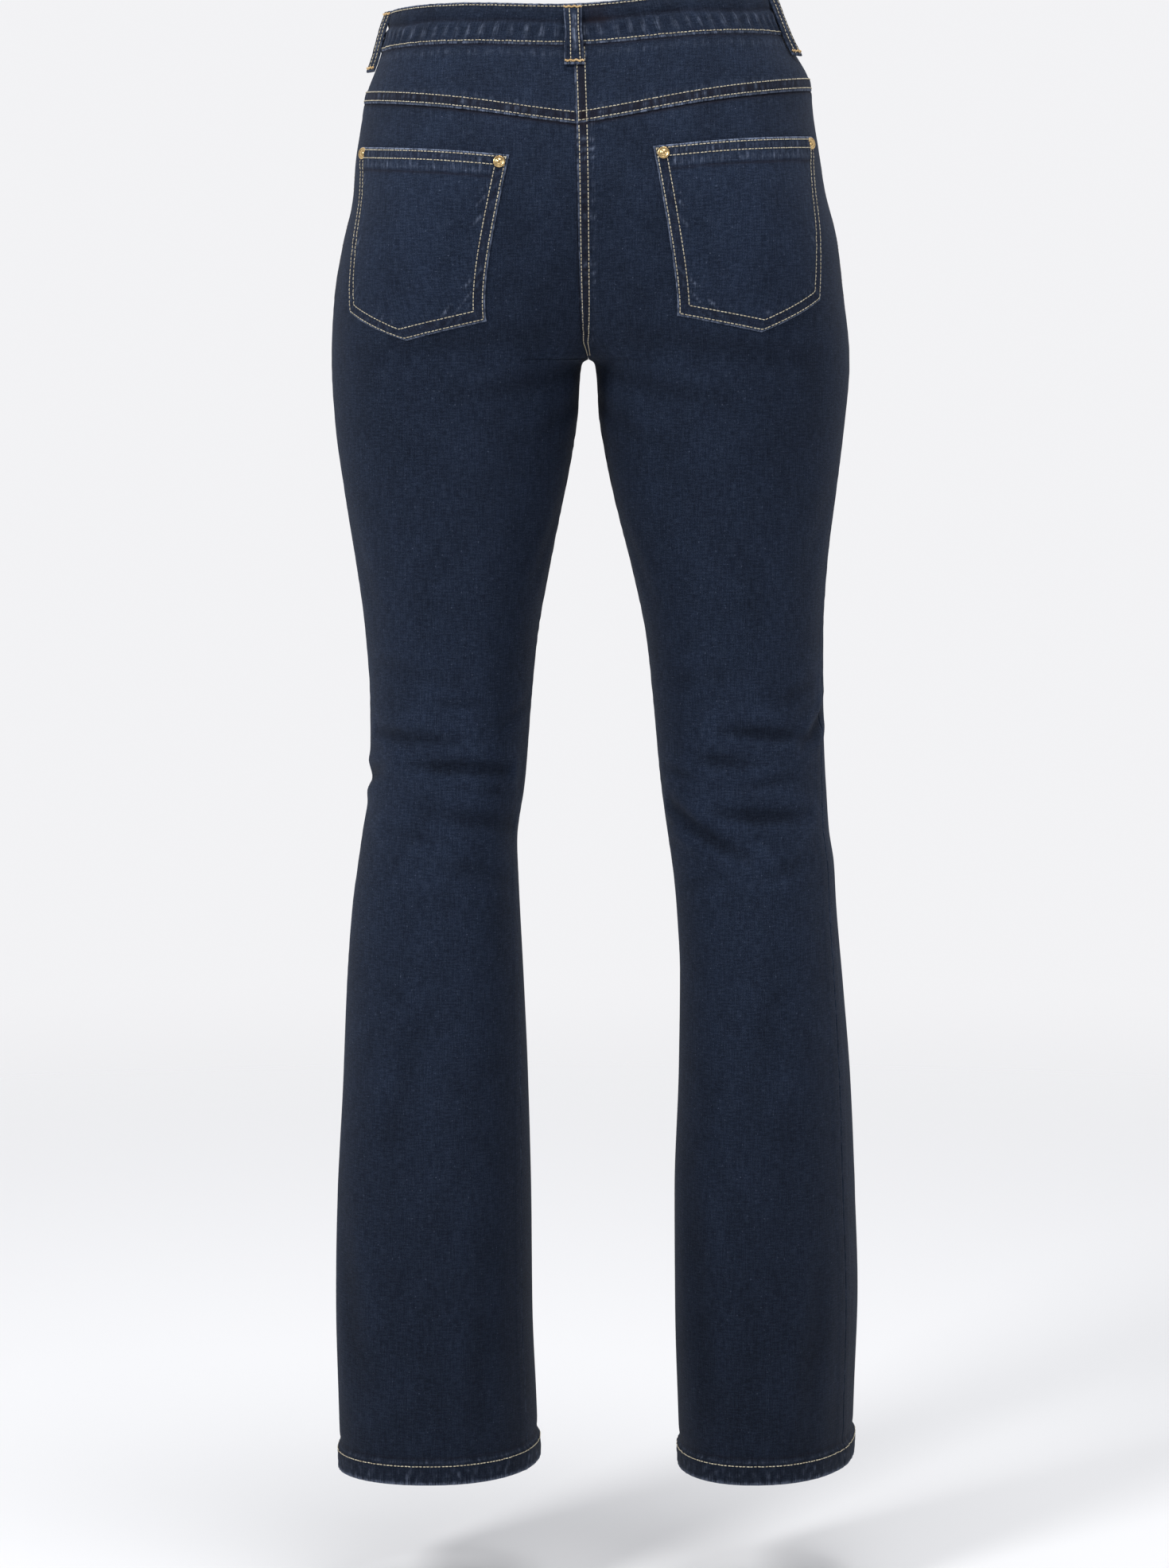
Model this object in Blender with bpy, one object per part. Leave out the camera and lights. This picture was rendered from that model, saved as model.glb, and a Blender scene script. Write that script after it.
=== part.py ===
"""Bootcut jeans in their worn shape: thin walls of cloth sewn from separate pieces.

The garment hangs below its waist, front to -Y, wearer's left to +X, up +Z. The origin is the
middle of the waistband, where the wearer's waist holds it.
"""
import math

import bmesh
import bpy
import numpy as np

# Sizes are in millimetres until points are written out in metres. Heights are above the hem.
MM = 0.001
HELD_HEIGHT = 1045.0
BAND_TOP = 1060.3
BAND_BOTTOM = 1030.3
FORK_HEIGHT = 806.2
FORK_BLEND = 32.0
FORK_SPREAD = 0.62
SEAM_GAP = 0.3
CLOTH = 1.2
ROUNDNESS = 2.15

# The waist stands higher on the wearer's right and dips at the centre back.
WAIST_TILT = 0.0416
BACK_DIP = 7.2
BACK_DIP_WIDTH = 75.0

YOKE_CENTRE = 973.0
YOKE_RISE = 20.0
FELL_WIDTH = 8.0
FELL_RAISE = 0.9

HEM_DEPTH = 15.5
HEM_RAISE = 0.5

BAND_OUT = 0.9
BAND_IN = 1.5
LAP_RAISE = 2.7

MOUTH_WIDTH = 92.0
MOUTH_DEPTH = 72.0
BEARER_UNDER = 18.0
BEARER_SINK = 2.2
BEARER_BOTTOM = 942.0

PLACKET_CLOTH = 1.0

POCKET_CLOTH = 1.3
LOOP_WIDTH = 13.0
LOOP_CLOTH = 1.8
LOOP_SLOT = 3.4
RIVET_RADIUS = 4.2
RIVET_HEIGHT = 1.6
BUTTON_RADIUS = 8.5
BUTTON_HEIGHT = 4.5

# Widest points to each side.
OUTER = (
    # height, left, right
    (0, 181.5, 196.5),
    (50, 183.0, 197.5),
    (120, 184.6, 199.3),
    (200, 183.2, 196.8),
    (280, 179.2, 192.8),
    (350, 176.4, 186.9),
    (410, 172.0, 181.5),
    (440, 168.0, 179.7),
    (465, 164.4, 175.9),
    (490, 160.3, 174.1),
    (520, 158.7, 172.3),
    (560, 158.9, 171.0),
    (610, 162.1, 170.6),
    (660, 168.4, 173.2),
    (710, 176.1, 178.9),
    (760, 182.7, 184.7),
    (805, 185.1, 188.3),
    (850, 182.8, 183.3),
    (890, 176.3, 178.2),
    (925, 168.7, 169.2),
    (950, 166.9, 165.2),
    (975, 163.2, 161.1),
    (1000, 159.1, 158.2),
    (1020, 151.9, 147.9),
    (1040, 145.4, 138.3),
    (1064, 139.9, 131.2),
)

# Widest points between the legs. Above the fork they pass the middle, so the two legs run together.
INNER = (
    # height, left, right
    (0, 37.0, 67.3),
    (40, 38.4, 65.8),
    (110, 41.3, 63.6),
    (200, 42.2, 63.0),
    (290, 44.5, 66.0),
    (360, 47.6, 66.8),
    (405, 50.0, 64.6),
    (430, 51.2, 62.4),
    (455, 52.1, 59.0),
    (500, 46.3, 53.0),
    (560, 41.5, 47.4),
    (606, 37.1, 42.3),
    (652, 29.1, 32.7),
    (698, 20.0, 21.0),
    (722, 15.0, 15.4),
    (745, 10.9, 11.0),
    (768, 7.8, 7.5),
    (790, 6.6, 6.4),
    (801, 5.3, 5.0),
    (804, 4.0, 3.8),
    (805.5, 2.1, 2.1),
    (806.2, 0.15, 0.15),
    (807.7, -3, -3),
    (812.2, -9, -9),
    (821.2, -22, -22),
    (836.2, -42, -42),
    (856.2, -66, -66),
    (886.2, -105, -105),
    (916.2, -150, -150),
    (976.2, -260, -260),
    (1064.2, -330, -330),
)

# The view from the side.
DEPTH = (
    # height, back, front
    (0, 86, -80),
    (51, 85, -79),
    (113, 83, -76),
    (185, 81, -73),
    (257, 79, -71),
    (329, 76, -71),
    (391, 71, -73),
    (442, 65, -77),
    (488, 60, -82),
    (535, 60, -87),
    (581, 65, -90),
    (627, 72, -92),
    (678, 80, -93),
    (730, 89, -94),
    (771, 98, -96),
    (805.9, 107, -99),
    (841, 117, -103),
    (880, 126, -108),
    (918, 129.5, -112),
    (957, 125, -114),
    (991, 117, -114),
    (1030, 106, -111),
    (1064, 97, -106),
)

# Where the fullest points lie across and the widest points lie front to back, with each leg's turn.
LEFT_TURN = (
    # height, back_x, front_x, outer_y, inner_y
    (0, 116, 98, 22, -15),
    (113, 117, 105, 18, -12),
    (329, 116, 108, 5, -5),
    (488, 104, 103, -12, -14),
    (581, 100, 99, -12, -14),
    (720, 98, 97, -4, -6),
    (805.9, 95, 92, 0, -4),
    (918, 84, 66, 2, -4),
    (991, 52, 36, 0, -4),
    (1064, 24, 20, -4, -4),
)
RIGHT_TURN = (
    # height, back_x, front_x, outer_y, inner_y
    (0, 118, 140, -42, 14),
    (113, 120, 137, -36, 12),
    (329, 122, 130, -18, 5),
    (488, 113, 114, -14, -8),
    (581, 107, 108, -12, -12),
    (720, 99, 98, -4, -6),
    (805.9, 97, 94, 0, -4),
    (918, 82, 64, 2, -4),
    (991, 48, 34, 0, -4),
    (1064, 12, 16, -4, -4),
)

# The middle seams, which part left from right.
MIDDLE_SEAMS = (
    # height, back_x, front_x
    (806.2, 0, 0),
    (821, 4, 0),
    (974, 8.5, 2),
    (1064, 11.5, 4),
)
# How far round each leg its seams lie from the widest points, with the turn of the leg: an outseam
# toward the front and an inseam toward the back.
LEG_SEAMS = (
    # height, left outseam, left inseam, right outseam, right inseam
    (0, 30, 48, -72, -48),
    (185, 25, 42, -66, -42),
    (360, 12, 28, -50, -28),
    (514, 0, 12, -30, -12),
    (668, 0, 2, -8, -2),
    (740, 0, 0, 0, 0),
    (1064, 0, 0, 0, 0),
)

# Troughs of the largest folds. Each runs from one place to another, around being the share of a
# panel's width away from the outseam, less than nothing on the back.
FOLDS = (
    # side, around_1, height_1, around_2, height_2, half_width, depth
    (1, -0.18, 539, -0.56, 532, 9, 3.0),
    (1, -0.36, 520, -0.80, 511, 9, 3.4),
    (1, -0.22, 512, 0.06, 500, 9, 2.4),
    (1, -0.45, 484, -0.92, 470, 10, 1.8),
    (-1, -0.48, 541, -0.16, 537, 9, 3.0),
    (-1, -0.58, 521, -0.36, 521, 9, 2.4),
    (-1, -0.54, 482, -0.13, 479, 9, 3.0),
    (-1, -0.76, 485, -0.40, 453, 10, 3.4),
    (-1, 0.05, 556, -0.15, 530, 9, 2.6),
    (1, 0.50, 860, 0.90, 829, 11, 2.2),
    (1, 0.55, 820, 0.88, 810, 10, 1.8),
    (-1, 0.48, 854, 0.90, 824, 11, 2.2),
    (-1, 0.56, 812, 0.86, 804, 10, 1.8),
    (1, 0.25, 563, 0.68, 553, 11, 1.8),
    (-1, 0.30, 572, 0.75, 556, 11, 1.8),
)
FOLD_REACH = 205.0
FOLD_END = 0.07

BACK_LEVELS = (973, 952, 930, 909, 887, 866, 847, 831, 820, 813.9, 809.9, 807.7, 806.4, 806.2,
               805.5, 803.4, 798, 785, 766, 735, 699, 663, 629, 601, 579, 560, 545, 531, 519, 508,
               498, 487, 475, 461, 442, 411, 360, 298, 226, 154, 87, 41, 16.3, 15.5, 0)
BACK_LEVEL_FOLLOW = ((973, 1.0), (952, 0.75), (930, 0.45), (909, 0.18), (887, 0.0))
FRONT_LEVELS = (1030, 1018, 1006, 992, 980, 971, 965, 961.5, 959.2, 958, 940, 916, 887, 860, 836, 820,
                813.9, 809.9, 807.7, 806.4, 806.2, 805.5, 803.4, 798, 785, 766, 735, 699, 663, 629,
                601, 579, 560, 545, 529, 514, 499, 483, 468, 442, 411, 360, 298, 226, 154, 87, 41,
                16.3, 15.5, 0)
PANEL_COLUMNS = 13

# Corners of the back pockets as they lie on the panel: distance along the cloth from the centre-back
# seam, then height. In order from the inner top corner, round by the outer one.
POCKET_CORNERS = {
    1: ((47.2, 950.2), (187.9, 959.3), (186.5, 839.5), (140.3, 819.2), (74.7, 833.2)),
    -1: ((52.6, 953.9), (200.0, 959.3), (184.3, 846.9), (136.0, 824.9), (73.2, 836.7)),
}
RIVET_IN = 7.2
RIVET_DOWN = 5.2


# The fly placket's outline on the left front: distance back from the centre-front edge, then height.
PLACKET_CORNERS = ((-38.0, 1030.0), (-37.0, 923.0), (-32.0, 908.0), (-21.0, 895.0), (-8.0, 888.0),
                   (-0.2, 886.5), (-0.2, 1030.0))


def curve(rows, column, height):
    """Read one column of a table at any height, along a smooth line that never overshoots."""
    table = np.array(rows, dtype=float)
    known, values = table[:, 0], table[:, column]
    step = np.diff(known)
    rise = np.diff(values) / step
    slope = np.zeros(len(known))
    before, after = rise[:-1], rise[1:]
    bends_one_way = before * after > 0
    near = 2 * step[1:] + step[:-1]
    far = step[1:] + 2 * step[:-1]
    safe_before = np.where(bends_one_way, before, 1.0)
    safe_after = np.where(bends_one_way, after, 1.0)
    slope[1:-1] = np.where(bends_one_way, (near + far) / (near / safe_before + far / safe_after), 0.0)
    slope[0], slope[-1] = rise[0], rise[-1]
    height = np.clip(height, known[0], known[-1])
    cell = np.clip(np.searchsorted(known, height, side="right") - 1, 0, len(step) - 1)
    t = (height - known[cell]) / step[cell]
    return ((2 * t**3 - 3 * t**2 + 1) * values[cell] + (t**3 - 2 * t**2 + t) * step[cell] * slope[cell]
            + (3 * t**2 - 2 * t**3) * values[cell + 1] + (t**3 - t**2) * step[cell] * slope[cell + 1])


def arc(turn, power=2 / ROUNDNESS):
    """Cosine and sine of a turn, drawn out to the fuller corner of a worn tube."""
    return np.abs(np.cos(turn)) ** power, np.abs(np.sin(turn)) ** power


def outline(side, heights, quarter=48):
    """The closed line round one leg or half the hips: its back part and its front part."""
    h = np.asarray(heights, dtype=float)[:, None]
    column = 1 if side > 0 else 2
    turn_rows = LEFT_TURN if side > 0 else RIGHT_TURN
    outer, inner = curve(OUTER, column, h), curve(INNER, column, h)
    back, front = curve(DEPTH, 1, h), curve(DEPTH, 2, h)
    back_x, front_x, outer_y, inner_y = (curve(turn_rows, k, h) for k in (1, 2, 3, 4))
    split_back = np.maximum(side * curve(MIDDLE_SEAMS, 1, h) + SEAM_GAP / 2, inner)
    split_front = np.maximum(side * curve(MIDDLE_SEAMS, 2, h) + SEAM_GAP / 2, inner)
    way = np.linspace(0, 1, quarter)[None, :]
    full = math.pi / 2
    start = np.arccos(np.clip((back_x - split_back) / (back_x - inner), 0, 1) ** (ROUNDNESS / 2))
    c, s = arc(start + (full - start) * way)
    back_inner = np.stack([back_x - (back_x - inner) * c, inner_y + (back - inner_y) * s], -1)
    c, s = arc(full * way)
    back_outer = np.stack([back_x + (outer - back_x) * s, outer_y + (back - outer_y) * c], -1)
    front_outer = np.stack([front_x + (outer - front_x) * c, outer_y + (front - outer_y) * s], -1)
    end = np.arccos(np.clip((front_x - split_front) / (front_x - inner), 0, 1) ** (ROUNDNESS / 2))
    c, s = arc(full - (full - end) * way)
    front_inner = np.stack([front_x - (front_x - inner) * c, inner_y + (front - inner_y) * s], -1)
    return (np.concatenate([back_inner, back_outer[:, 1:]], 1),
            np.concatenate([front_outer, front_inner[:, 1:]], 1))


def meet_at_middle(lines, other, depth_at):
    """Bring the two sides' lines to the same depth where they meet at a middle seam."""
    gap = (other[:, depth_at, 1] - lines[:, depth_at, 1])[:, None] / 2
    away = np.abs(lines[:, :, 0] - lines[:, depth_at, 0][:, None])
    lines[:, :, 1] += gap * np.exp(-(away / 30.0) ** 2)


def lift(x, y, height):
    """Height added near the waist by its tilt and its dip at the centre back."""
    share = np.clip((height - FORK_HEIGHT) / (BAND_TOP - FORK_HEIGHT), 0, 1) ** 1.2
    behind = np.clip(y / 40.0, 0, 1)
    dip = BACK_DIP * np.exp(-((x - 8.0) / BACK_DIP_WIDTH) ** 2) * behind
    return share * (-WAIST_TILT * x - dip)


class Skin:
    """The outer face of one side's cloth, read by face, share of the way across and height."""

    def __init__(self, side, heights, columns=160):
        self.side = side
        self.heights = heights
        own = outline(side, heights)
        other = outline(-side, heights)
        joined = curve(INNER, 1 if side > 0 else 2, heights) < SEAM_GAP / 2 - 1e-6
        for part, depth_at in ((0, 0), (1, -1)):
            met = own[part].copy()
            meet_at_middle(met, other[part], depth_at)
            own[part][joined] = met[joined]
        whole = np.concatenate([own[0], own[1][:, 1:]], 1)
        run = np.hypot(*np.moveaxis(np.diff(whole, axis=1), -1, 0))
        run = np.concatenate([np.zeros((len(heights), 1)), np.cumsum(run, 1)], 1)
        seam = run[:, own[0].shape[1] - 1] + curve(LEG_SEAMS, 1 if side > 0 else 3, heights)
        inseam = curve(LEG_SEAMS, 2 if side > 0 else 4, heights)
        round_run = np.concatenate([run[:, :-1] - run[:, -1:], run, run[:, 1:] + run[:, -1:]], 1)
        round_line = np.concatenate([whole[:, :-1], whole, whole[:, 1:]], 1)
        edge = np.where(joined, 0.0, SEAM_GAP / 2)
        share = np.linspace(0, 1, columns)
        self.points, self.across, self.normals = {}, {}, {}
        spans = {"back": (inseam + edge, seam - SEAM_GAP / 2),
                 "front": (seam + SEAM_GAP / 2, run[:, -1] + inseam - edge)}
        for face, (first, last) in spans.items():
            place = self.spread(face, first, last, share)
            x = np.array([np.interp(p, r, w[:, 0]) for p, r, w in zip(place, round_run, round_line)])
            y = np.array([np.interp(p, r, w[:, 1]) for p, r, w in zip(place, round_run, round_line)])
            height = np.repeat(heights[:, None], columns, 1)
            points = np.stack([side * x, y, height + lift(side * x, y, height)], -1)
            self.across[face] = place - first[:, None]
            normals = self.find_normals(points)
            points = points + normals * self.relief(face, share[None, :], height)[..., None]
            self.points[face], self.normals[face] = points, self.find_normals(points)

    def spread(self, face, first, last, share):
        """Places across a face. Near the fork only those next to the middle seam move up quickly."""
        length = last - first
        near = np.exp(-((self.heights[:, None] - self.heights[None, :]) / FORK_BLEND) ** 2)
        near *= np.gradient(self.heights)[None, :]
        slow = (near @ length) / near.sum(1)
        from_outseam = 1 - share if face == "back" else share
        edge = np.clip((from_outseam - FORK_SPREAD) / (1 - FORK_SPREAD), 0, 1) ** 2
        run = slow[:, None] * from_outseam[None, :] + (length - slow)[:, None] * edge[None, :]
        return last[:, None] - run if face == "back" else first[:, None] + run

    def find_normals(self, points):
        along = np.gradient(points, axis=1)
        up = np.gradient(points, self.heights, axis=0)
        normal = np.cross(along, up) * -self.side
        return normal / np.maximum(np.linalg.norm(normal, axis=-1, keepdims=True), 1e-9)

    def relief(self, face, across, height):
        """How far the folds move the cloth in or out."""
        around = across - 1 if face == "back" else across
        total = np.zeros(np.broadcast(around, height).shape)
        for side, a1, h1, a2, h2, width, depth in FOLDS:
            if side != self.side:
                continue
            du, dh = (a2 - a1) * FOLD_REACH, h2 - h1
            pu, ph = (around - a1) * FOLD_REACH, height - h1
            along = np.clip((pu * du + ph * dh) / (du * du + dh * dh), 0, 1)
            away = np.hypot(pu - along * du, ph - along * dh)
            fade = np.sin(math.pi * (0.08 + 0.84 * along)) ** 0.8
            trough = -np.exp(-(away / width) ** 2)
            ridge = 0.55 * np.exp(-((away - 1.9 * width) / width) ** 2)
            total += depth * fade * (trough + ridge)
        return total * np.clip((1 - np.abs(around)) / FOLD_END, 0, 1)

    def read(self, values, across, height):
        across, height = np.broadcast_arrays(np.asarray(across, float), np.asarray(height, float))
        row = np.clip(np.searchsorted(self.heights, height, side="right") - 1, 0, len(self.heights) - 2)
        t = np.clip((height - self.heights[row]) / (self.heights[row + 1] - self.heights[row]), 0, 1)
        place = np.clip(across, 0, 1) * (values.shape[1] - 1)
        col = np.clip(place.astype(int), 0, values.shape[1] - 2)
        s = place - col
        if values.ndim == 3:
            t, s = t[..., None], s[..., None]
        return ((1 - t) * ((1 - s) * values[row, col] + s * values[row, col + 1])
                + t * ((1 - s) * values[row + 1, col] + s * values[row + 1, col + 1]))

    def point(self, face, across, height, out=0.0):
        """Points on the cloth's outer face, or moved out from it."""
        normal = self.read(self.normals[face], across, height)
        normal = normal / np.linalg.norm(normal, axis=-1, keepdims=True)
        return self.read(self.points[face], across, height) + normal * np.asarray(out)[..., None]

    def normal(self, face, across, height):
        normal = self.read(self.normals[face], across, height)
        return normal / np.linalg.norm(normal, axis=-1, keepdims=True)

    def width(self, face, height):
        """Length of cloth across one face at a height."""
        return np.interp(height, self.heights, self.across[face][:, -1])


def skin_heights():
    even = np.arange(0, 1064, 3.0)
    fork = FORK_HEIGHT + np.array([-16, -12, -8, -5, -3, -2, -1.2, -0.7, -0.35, 0, 0.1, 0.2, 0.5, 0.9,
                                   1.5, 2.3, 3.5, 5, 7, 9.5, 12, 15])
    return np.unique(np.concatenate([even[np.abs(even - FORK_HEIGHT) > 16], fork, [1064.0]]))


def material(name, colour, roughness, metallic=0.0):
    made = bpy.data.materials.new(name)
    made.use_nodes = True
    shader = made.node_tree.nodes["Principled BSDF"]
    shader.inputs["Base Color"].default_value = (*colour, 1.0)
    shader.inputs["Roughness"].default_value = roughness
    shader.inputs["Metallic"].default_value = metallic
    made.diffuse_color = (*colour, 1.0)
    return made


def add_object(name, points, faces, look):
    """One closed solid, its points given in millimetres with heights above the hem."""
    moved = np.asarray(points, float) - np.array([0.0, 0.0, HELD_HEIGHT])
    mesh = bpy.data.meshes.new(name)
    mesh.from_pydata((moved * MM).tolist(), [], faces)
    shape = bmesh.new()
    shape.from_mesh(mesh)
    bmesh.ops.recalc_face_normals(shape, faces=shape.faces)
    bmesh.ops.triangulate(shape, faces=[f for f in shape.faces if len(f.verts) > 4])
    shape.to_mesh(mesh)
    shape.free()
    mesh.materials.append(look)
    made = bpy.data.objects.new(name, mesh)
    bpy.context.scene.collection.objects.link(made)
    return made


def wall(outer, inner):
    """Points and faces of a sheet with thickness, from a grid of points on each of its sides."""
    rows, cols = outer.shape[:2]
    points = np.concatenate([outer.reshape(-1, 3), inner.reshape(-1, 3)])
    back = rows * cols
    faces = []
    for r in range(rows - 1):
        for c in range(cols - 1):
            a, b, d, e = r * cols + c, r * cols + c + 1, (r + 1) * cols + c, (r + 1) * cols + c + 1
            faces += [(a, b, e), (a, e, d)]
            faces += [(a + back, e + back, b + back), (a + back, d + back, e + back)]
    rim = ([(r, 0) for r in range(rows)] + [(rows - 1, c) for c in range(1, cols)]
           + [(r, cols - 1) for r in range(rows - 2, -1, -1)] + [(0, c) for c in range(cols - 2, 0, -1)])
    ring = [r * cols + c for r, c in rim]
    for k, here in enumerate(ring):
        after = ring[(k + 1) % len(ring)]
        faces += [(here, after, after + back), (here, after + back, here + back)]
    return points, faces


def edge_direction(direction, face, heights):
    """Flatten the wall's direction into the middle seam's plane on the column at that seam."""
    column = 0 if face == "back" else -1
    above = heights[:, column] > FORK_HEIGHT - 0.05
    flat = direction[:, column].copy()
    flat[above, 0] = 0.0
    direction[:, column] = flat / np.linalg.norm(flat, axis=-1, keepdims=True)
    return direction


class Panel:
    """A piece of the skin: a grid of places, its outer points, and its wall's directions."""

    def __init__(self, skin, face, across, heights, raised=0.0, thick=CLOTH):
        self.skin, self.face = skin, face
        self.across, self.heights = np.broadcast_arrays(across, heights)
        self.direction = edge_direction(skin.normal(face, across, heights), face, self.heights)
        base = skin.point(face, across, heights)
        self.outer = base + self.direction * np.asarray(raised)[..., None]
        self.inner = base - self.direction * np.asarray(thick)[..., None]
        self.run = skin.read(skin.across[face], self.across, self.heights)
        self.run_back = self.run - skin.width(face, self.heights)

    def build(self, name, look):
        return add_object(name, *wall(self.outer, self.inner), look)


def hem_profile(heights):
    """How far the turned-up hem stands out and in from the single cloth."""
    in_hem = heights <= HEM_DEPTH + 0.01
    return np.where(in_hem, HEM_RAISE, 0.0), np.where(in_hem, CLOTH + HEM_RAISE, CLOTH)


def felled_edge(skin, face, columns):
    """Shares across a panel whose first strip is the felled seam, and which of them it raises."""
    width = skin.width(face, 920.0)
    edge = FELL_WIDTH / width
    shares = np.concatenate([[0.0, edge, edge + 0.6 / width], np.linspace(edge + 0.09, 1, columns - 3)])
    return shares, np.where(np.arange(columns) < 2, FELL_RAISE, 0.0)


def yoke_line(across):
    return YOKE_CENTRE + YOKE_RISE * (1 - (1 - across) ** 1.5)


def back_panel(skin):
    levels = np.array(BACK_LEVELS, float)[:, None]
    follow = np.array(BACK_LEVEL_FOLLOW[::-1])
    share = np.interp(levels, follow[:, 0], follow[:, 1])
    if skin.side < 0:
        across, raise_by = felled_edge(skin, "back", PANEL_COLUMNS + 1)
    else:
        across, raise_by = np.linspace(0, 1, PANEL_COLUMNS), np.zeros(PANEL_COLUMNS)
    across = across[None, :]
    heights = levels + share * (yoke_line(across) - YOKE_CENTRE)
    hem_out, thick = hem_profile(heights)
    above = np.clip((heights - FORK_HEIGHT - 8) / 14, 0, 1)
    return Panel(skin, "back", across, heights, hem_out + raise_by[None, :] * above, thick)


def yoke_panel(skin):
    if skin.side < 0:
        across, raise_by = felled_edge(skin, "back", PANEL_COLUMNS + 1)
    else:
        across, raise_by = np.linspace(0, 1, PANEL_COLUMNS), np.zeros(PANEL_COLUMNS)
    across = across[None, :]
    lower = yoke_line(across) + SEAM_GAP
    top = np.full_like(lower, BAND_BOTTOM - SEAM_GAP)
    fold, above = lower + FELL_WIDTH - 1.0, lower + FELL_WIDTH - 0.3
    middle = (above + top) / 2
    heights = np.concatenate([top, middle, above, fold, lower])
    fell = np.array([0, 0, 0, FELL_RAISE, FELL_RAISE])[:, None]
    return Panel(skin, "back", across, heights, np.maximum(fell, raise_by[None, :]))


def mouth_share(skin, heights):
    """Where the scooped pocket mouth cuts the front, as a share across from the outseam."""
    down = np.clip((BAND_BOTTOM - SEAM_GAP - heights) / MOUTH_DEPTH, 0, 1)
    return MOUTH_WIDTH * np.sqrt(1 - down ** 2) / skin.width("front", heights)


def front_panel(skin):
    heights = np.array(FRONT_LEVELS, float)[:, None]
    first = mouth_share(skin, heights)
    across = first + (1 - first) * np.linspace(0, 1, PANEL_COLUMNS)[None, :]
    heights = np.broadcast_to(heights, across.shape)
    hem_out, thick = hem_profile(heights)
    return Panel(skin, "front", across, heights, hem_out, thick)


def bearer(skin, look):
    levels = np.array((BAND_BOTTOM - SEAM_GAP, 1017, 1002, 986, 970, 956, BEARER_BOTTOM))[:, None]
    width = skin.width("front", levels)
    last = np.maximum(mouth_share(skin, levels), 0.4 * MOUTH_WIDTH / width) + BEARER_UNDER / width
    across = last * np.linspace(0, 1, 8)[None, :]
    heights = np.broadcast_to(levels, across.shape)
    outer = skin.point("front", across, heights, np.full(across.shape, -BEARER_SINK))
    inner = skin.point("front", across, heights, np.full(across.shape, -BEARER_SINK - CLOTH))
    side = "left" if skin.side > 0 else "right"
    add_object("pocket_bearer_" + side, *wall(outer, inner), look)


def inside_of(corners, start, stop):
    """Cut a flat shape by the line through two corners, keeping its inner side."""
    (ax, ay), (bx, by) = start, stop
    kept = []
    for here, after in zip(corners, corners[1:] + corners[:1]):
        d1 = (bx - ax) * (here[0][1] - ay) - (by - ay) * (here[0][0] - ax)
        d2 = (bx - ax) * (after[0][1] - ay) - (by - ay) * (after[0][0] - ax)
        if d1 >= 0:
            kept.append(here)
        if (d1 >= 0) != (d2 >= 0):
            t = d1 / (d1 - d2)
            kept.append(tuple(h + t * (a - h) for h, a in zip(here, after)))
    return kept


def patch(panel, run, corners, gap, thick):
    """A piece that lies on a panel: the panel's own facets inside the corners, moved out."""
    turn = sum(a[0] * b[1] - b[0] * a[1] for a, b in zip(corners, corners[1:] + corners[:1]))
    corners = corners if turn > 0 else corners[::-1]
    rows, cols = panel.outer.shape[:2]
    places = np.stack([run, panel.heights], -1)
    index, lower, direction, faces = {}, [], [], []
    for r in range(rows - 1):
        for c in range(cols - 1):
            cell = ((r, c), (r, c + 1), (r + 1, c + 1), (r + 1, c))
            for trio in (cell[:3], (cell[0], cell[2], cell[3])):
                shape = [(places[k], panel.outer[k], panel.direction[k]) for k in trio]
                for start, stop in zip(corners, corners[1:] + corners[:1]):
                    shape = inside_of(shape, start, stop) if shape else shape
                loop = []
                for place, point, way in shape:
                    key = (round(place[0], 2), round(place[1], 2))
                    if key not in index:
                        index[key] = len(lower)
                        lower.append(point)
                        direction.append(way)
                    if index[key] not in loop:
                        loop.append(index[key])
                if len(loop) > 2:
                    faces += [(loop[0], loop[k], loop[k + 1]) for k in range(1, len(loop) - 1)]
    lower, direction = np.array(lower), np.array(direction)
    count = len(lower)
    edges = {(a, b) for f in faces for a, b in zip(f, f[1:] + f[:1])}
    rim = [(a, b) for a, b in sorted(edges) if (b, a) not in edges]
    solid = [tuple(k + count for k in f) for f in faces] + [f[::-1] for f in faces]
    for a, b in rim:
        solid += [(a, b, b + count), (a, b + count, a + count)]
    points = np.concatenate([lower + direction * gap, lower + direction * (gap + thick)])
    return points, solid


def lathe(profile, centre, normal, segments=14):
    """A round piece from its profile (radius, height), closed at both poles on its axis."""
    normal = normal / np.linalg.norm(normal)
    side = np.cross(normal, (0.0, 0.0, 1.0))
    side /= np.linalg.norm(side)
    other = np.cross(normal, side)
    points = [centre + normal * profile[0][1]]
    for radius, height in profile[1:-1]:
        for k in range(segments):
            angle = 2 * math.pi * k / segments
            points.append(centre + normal * height + radius * (side * math.cos(angle) + other * math.sin(angle)))
    points.append(centre + normal * profile[-1][1])
    rings = len(profile) - 2
    faces = []
    for k in range(segments):
        after = (k + 1) % segments
        faces.append((0, 1 + k, 1 + after))
        for ring in range(rings - 1):
            a, b = 1 + ring * segments, 1 + (ring + 1) * segments
            faces += [(a + k, b + k, b + after), (a + k, b + after, a + after)]
        last = 1 + (rings - 1) * segments
        faces.append((last + k, len(points) - 1, last + after))
    return points, faces


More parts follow.
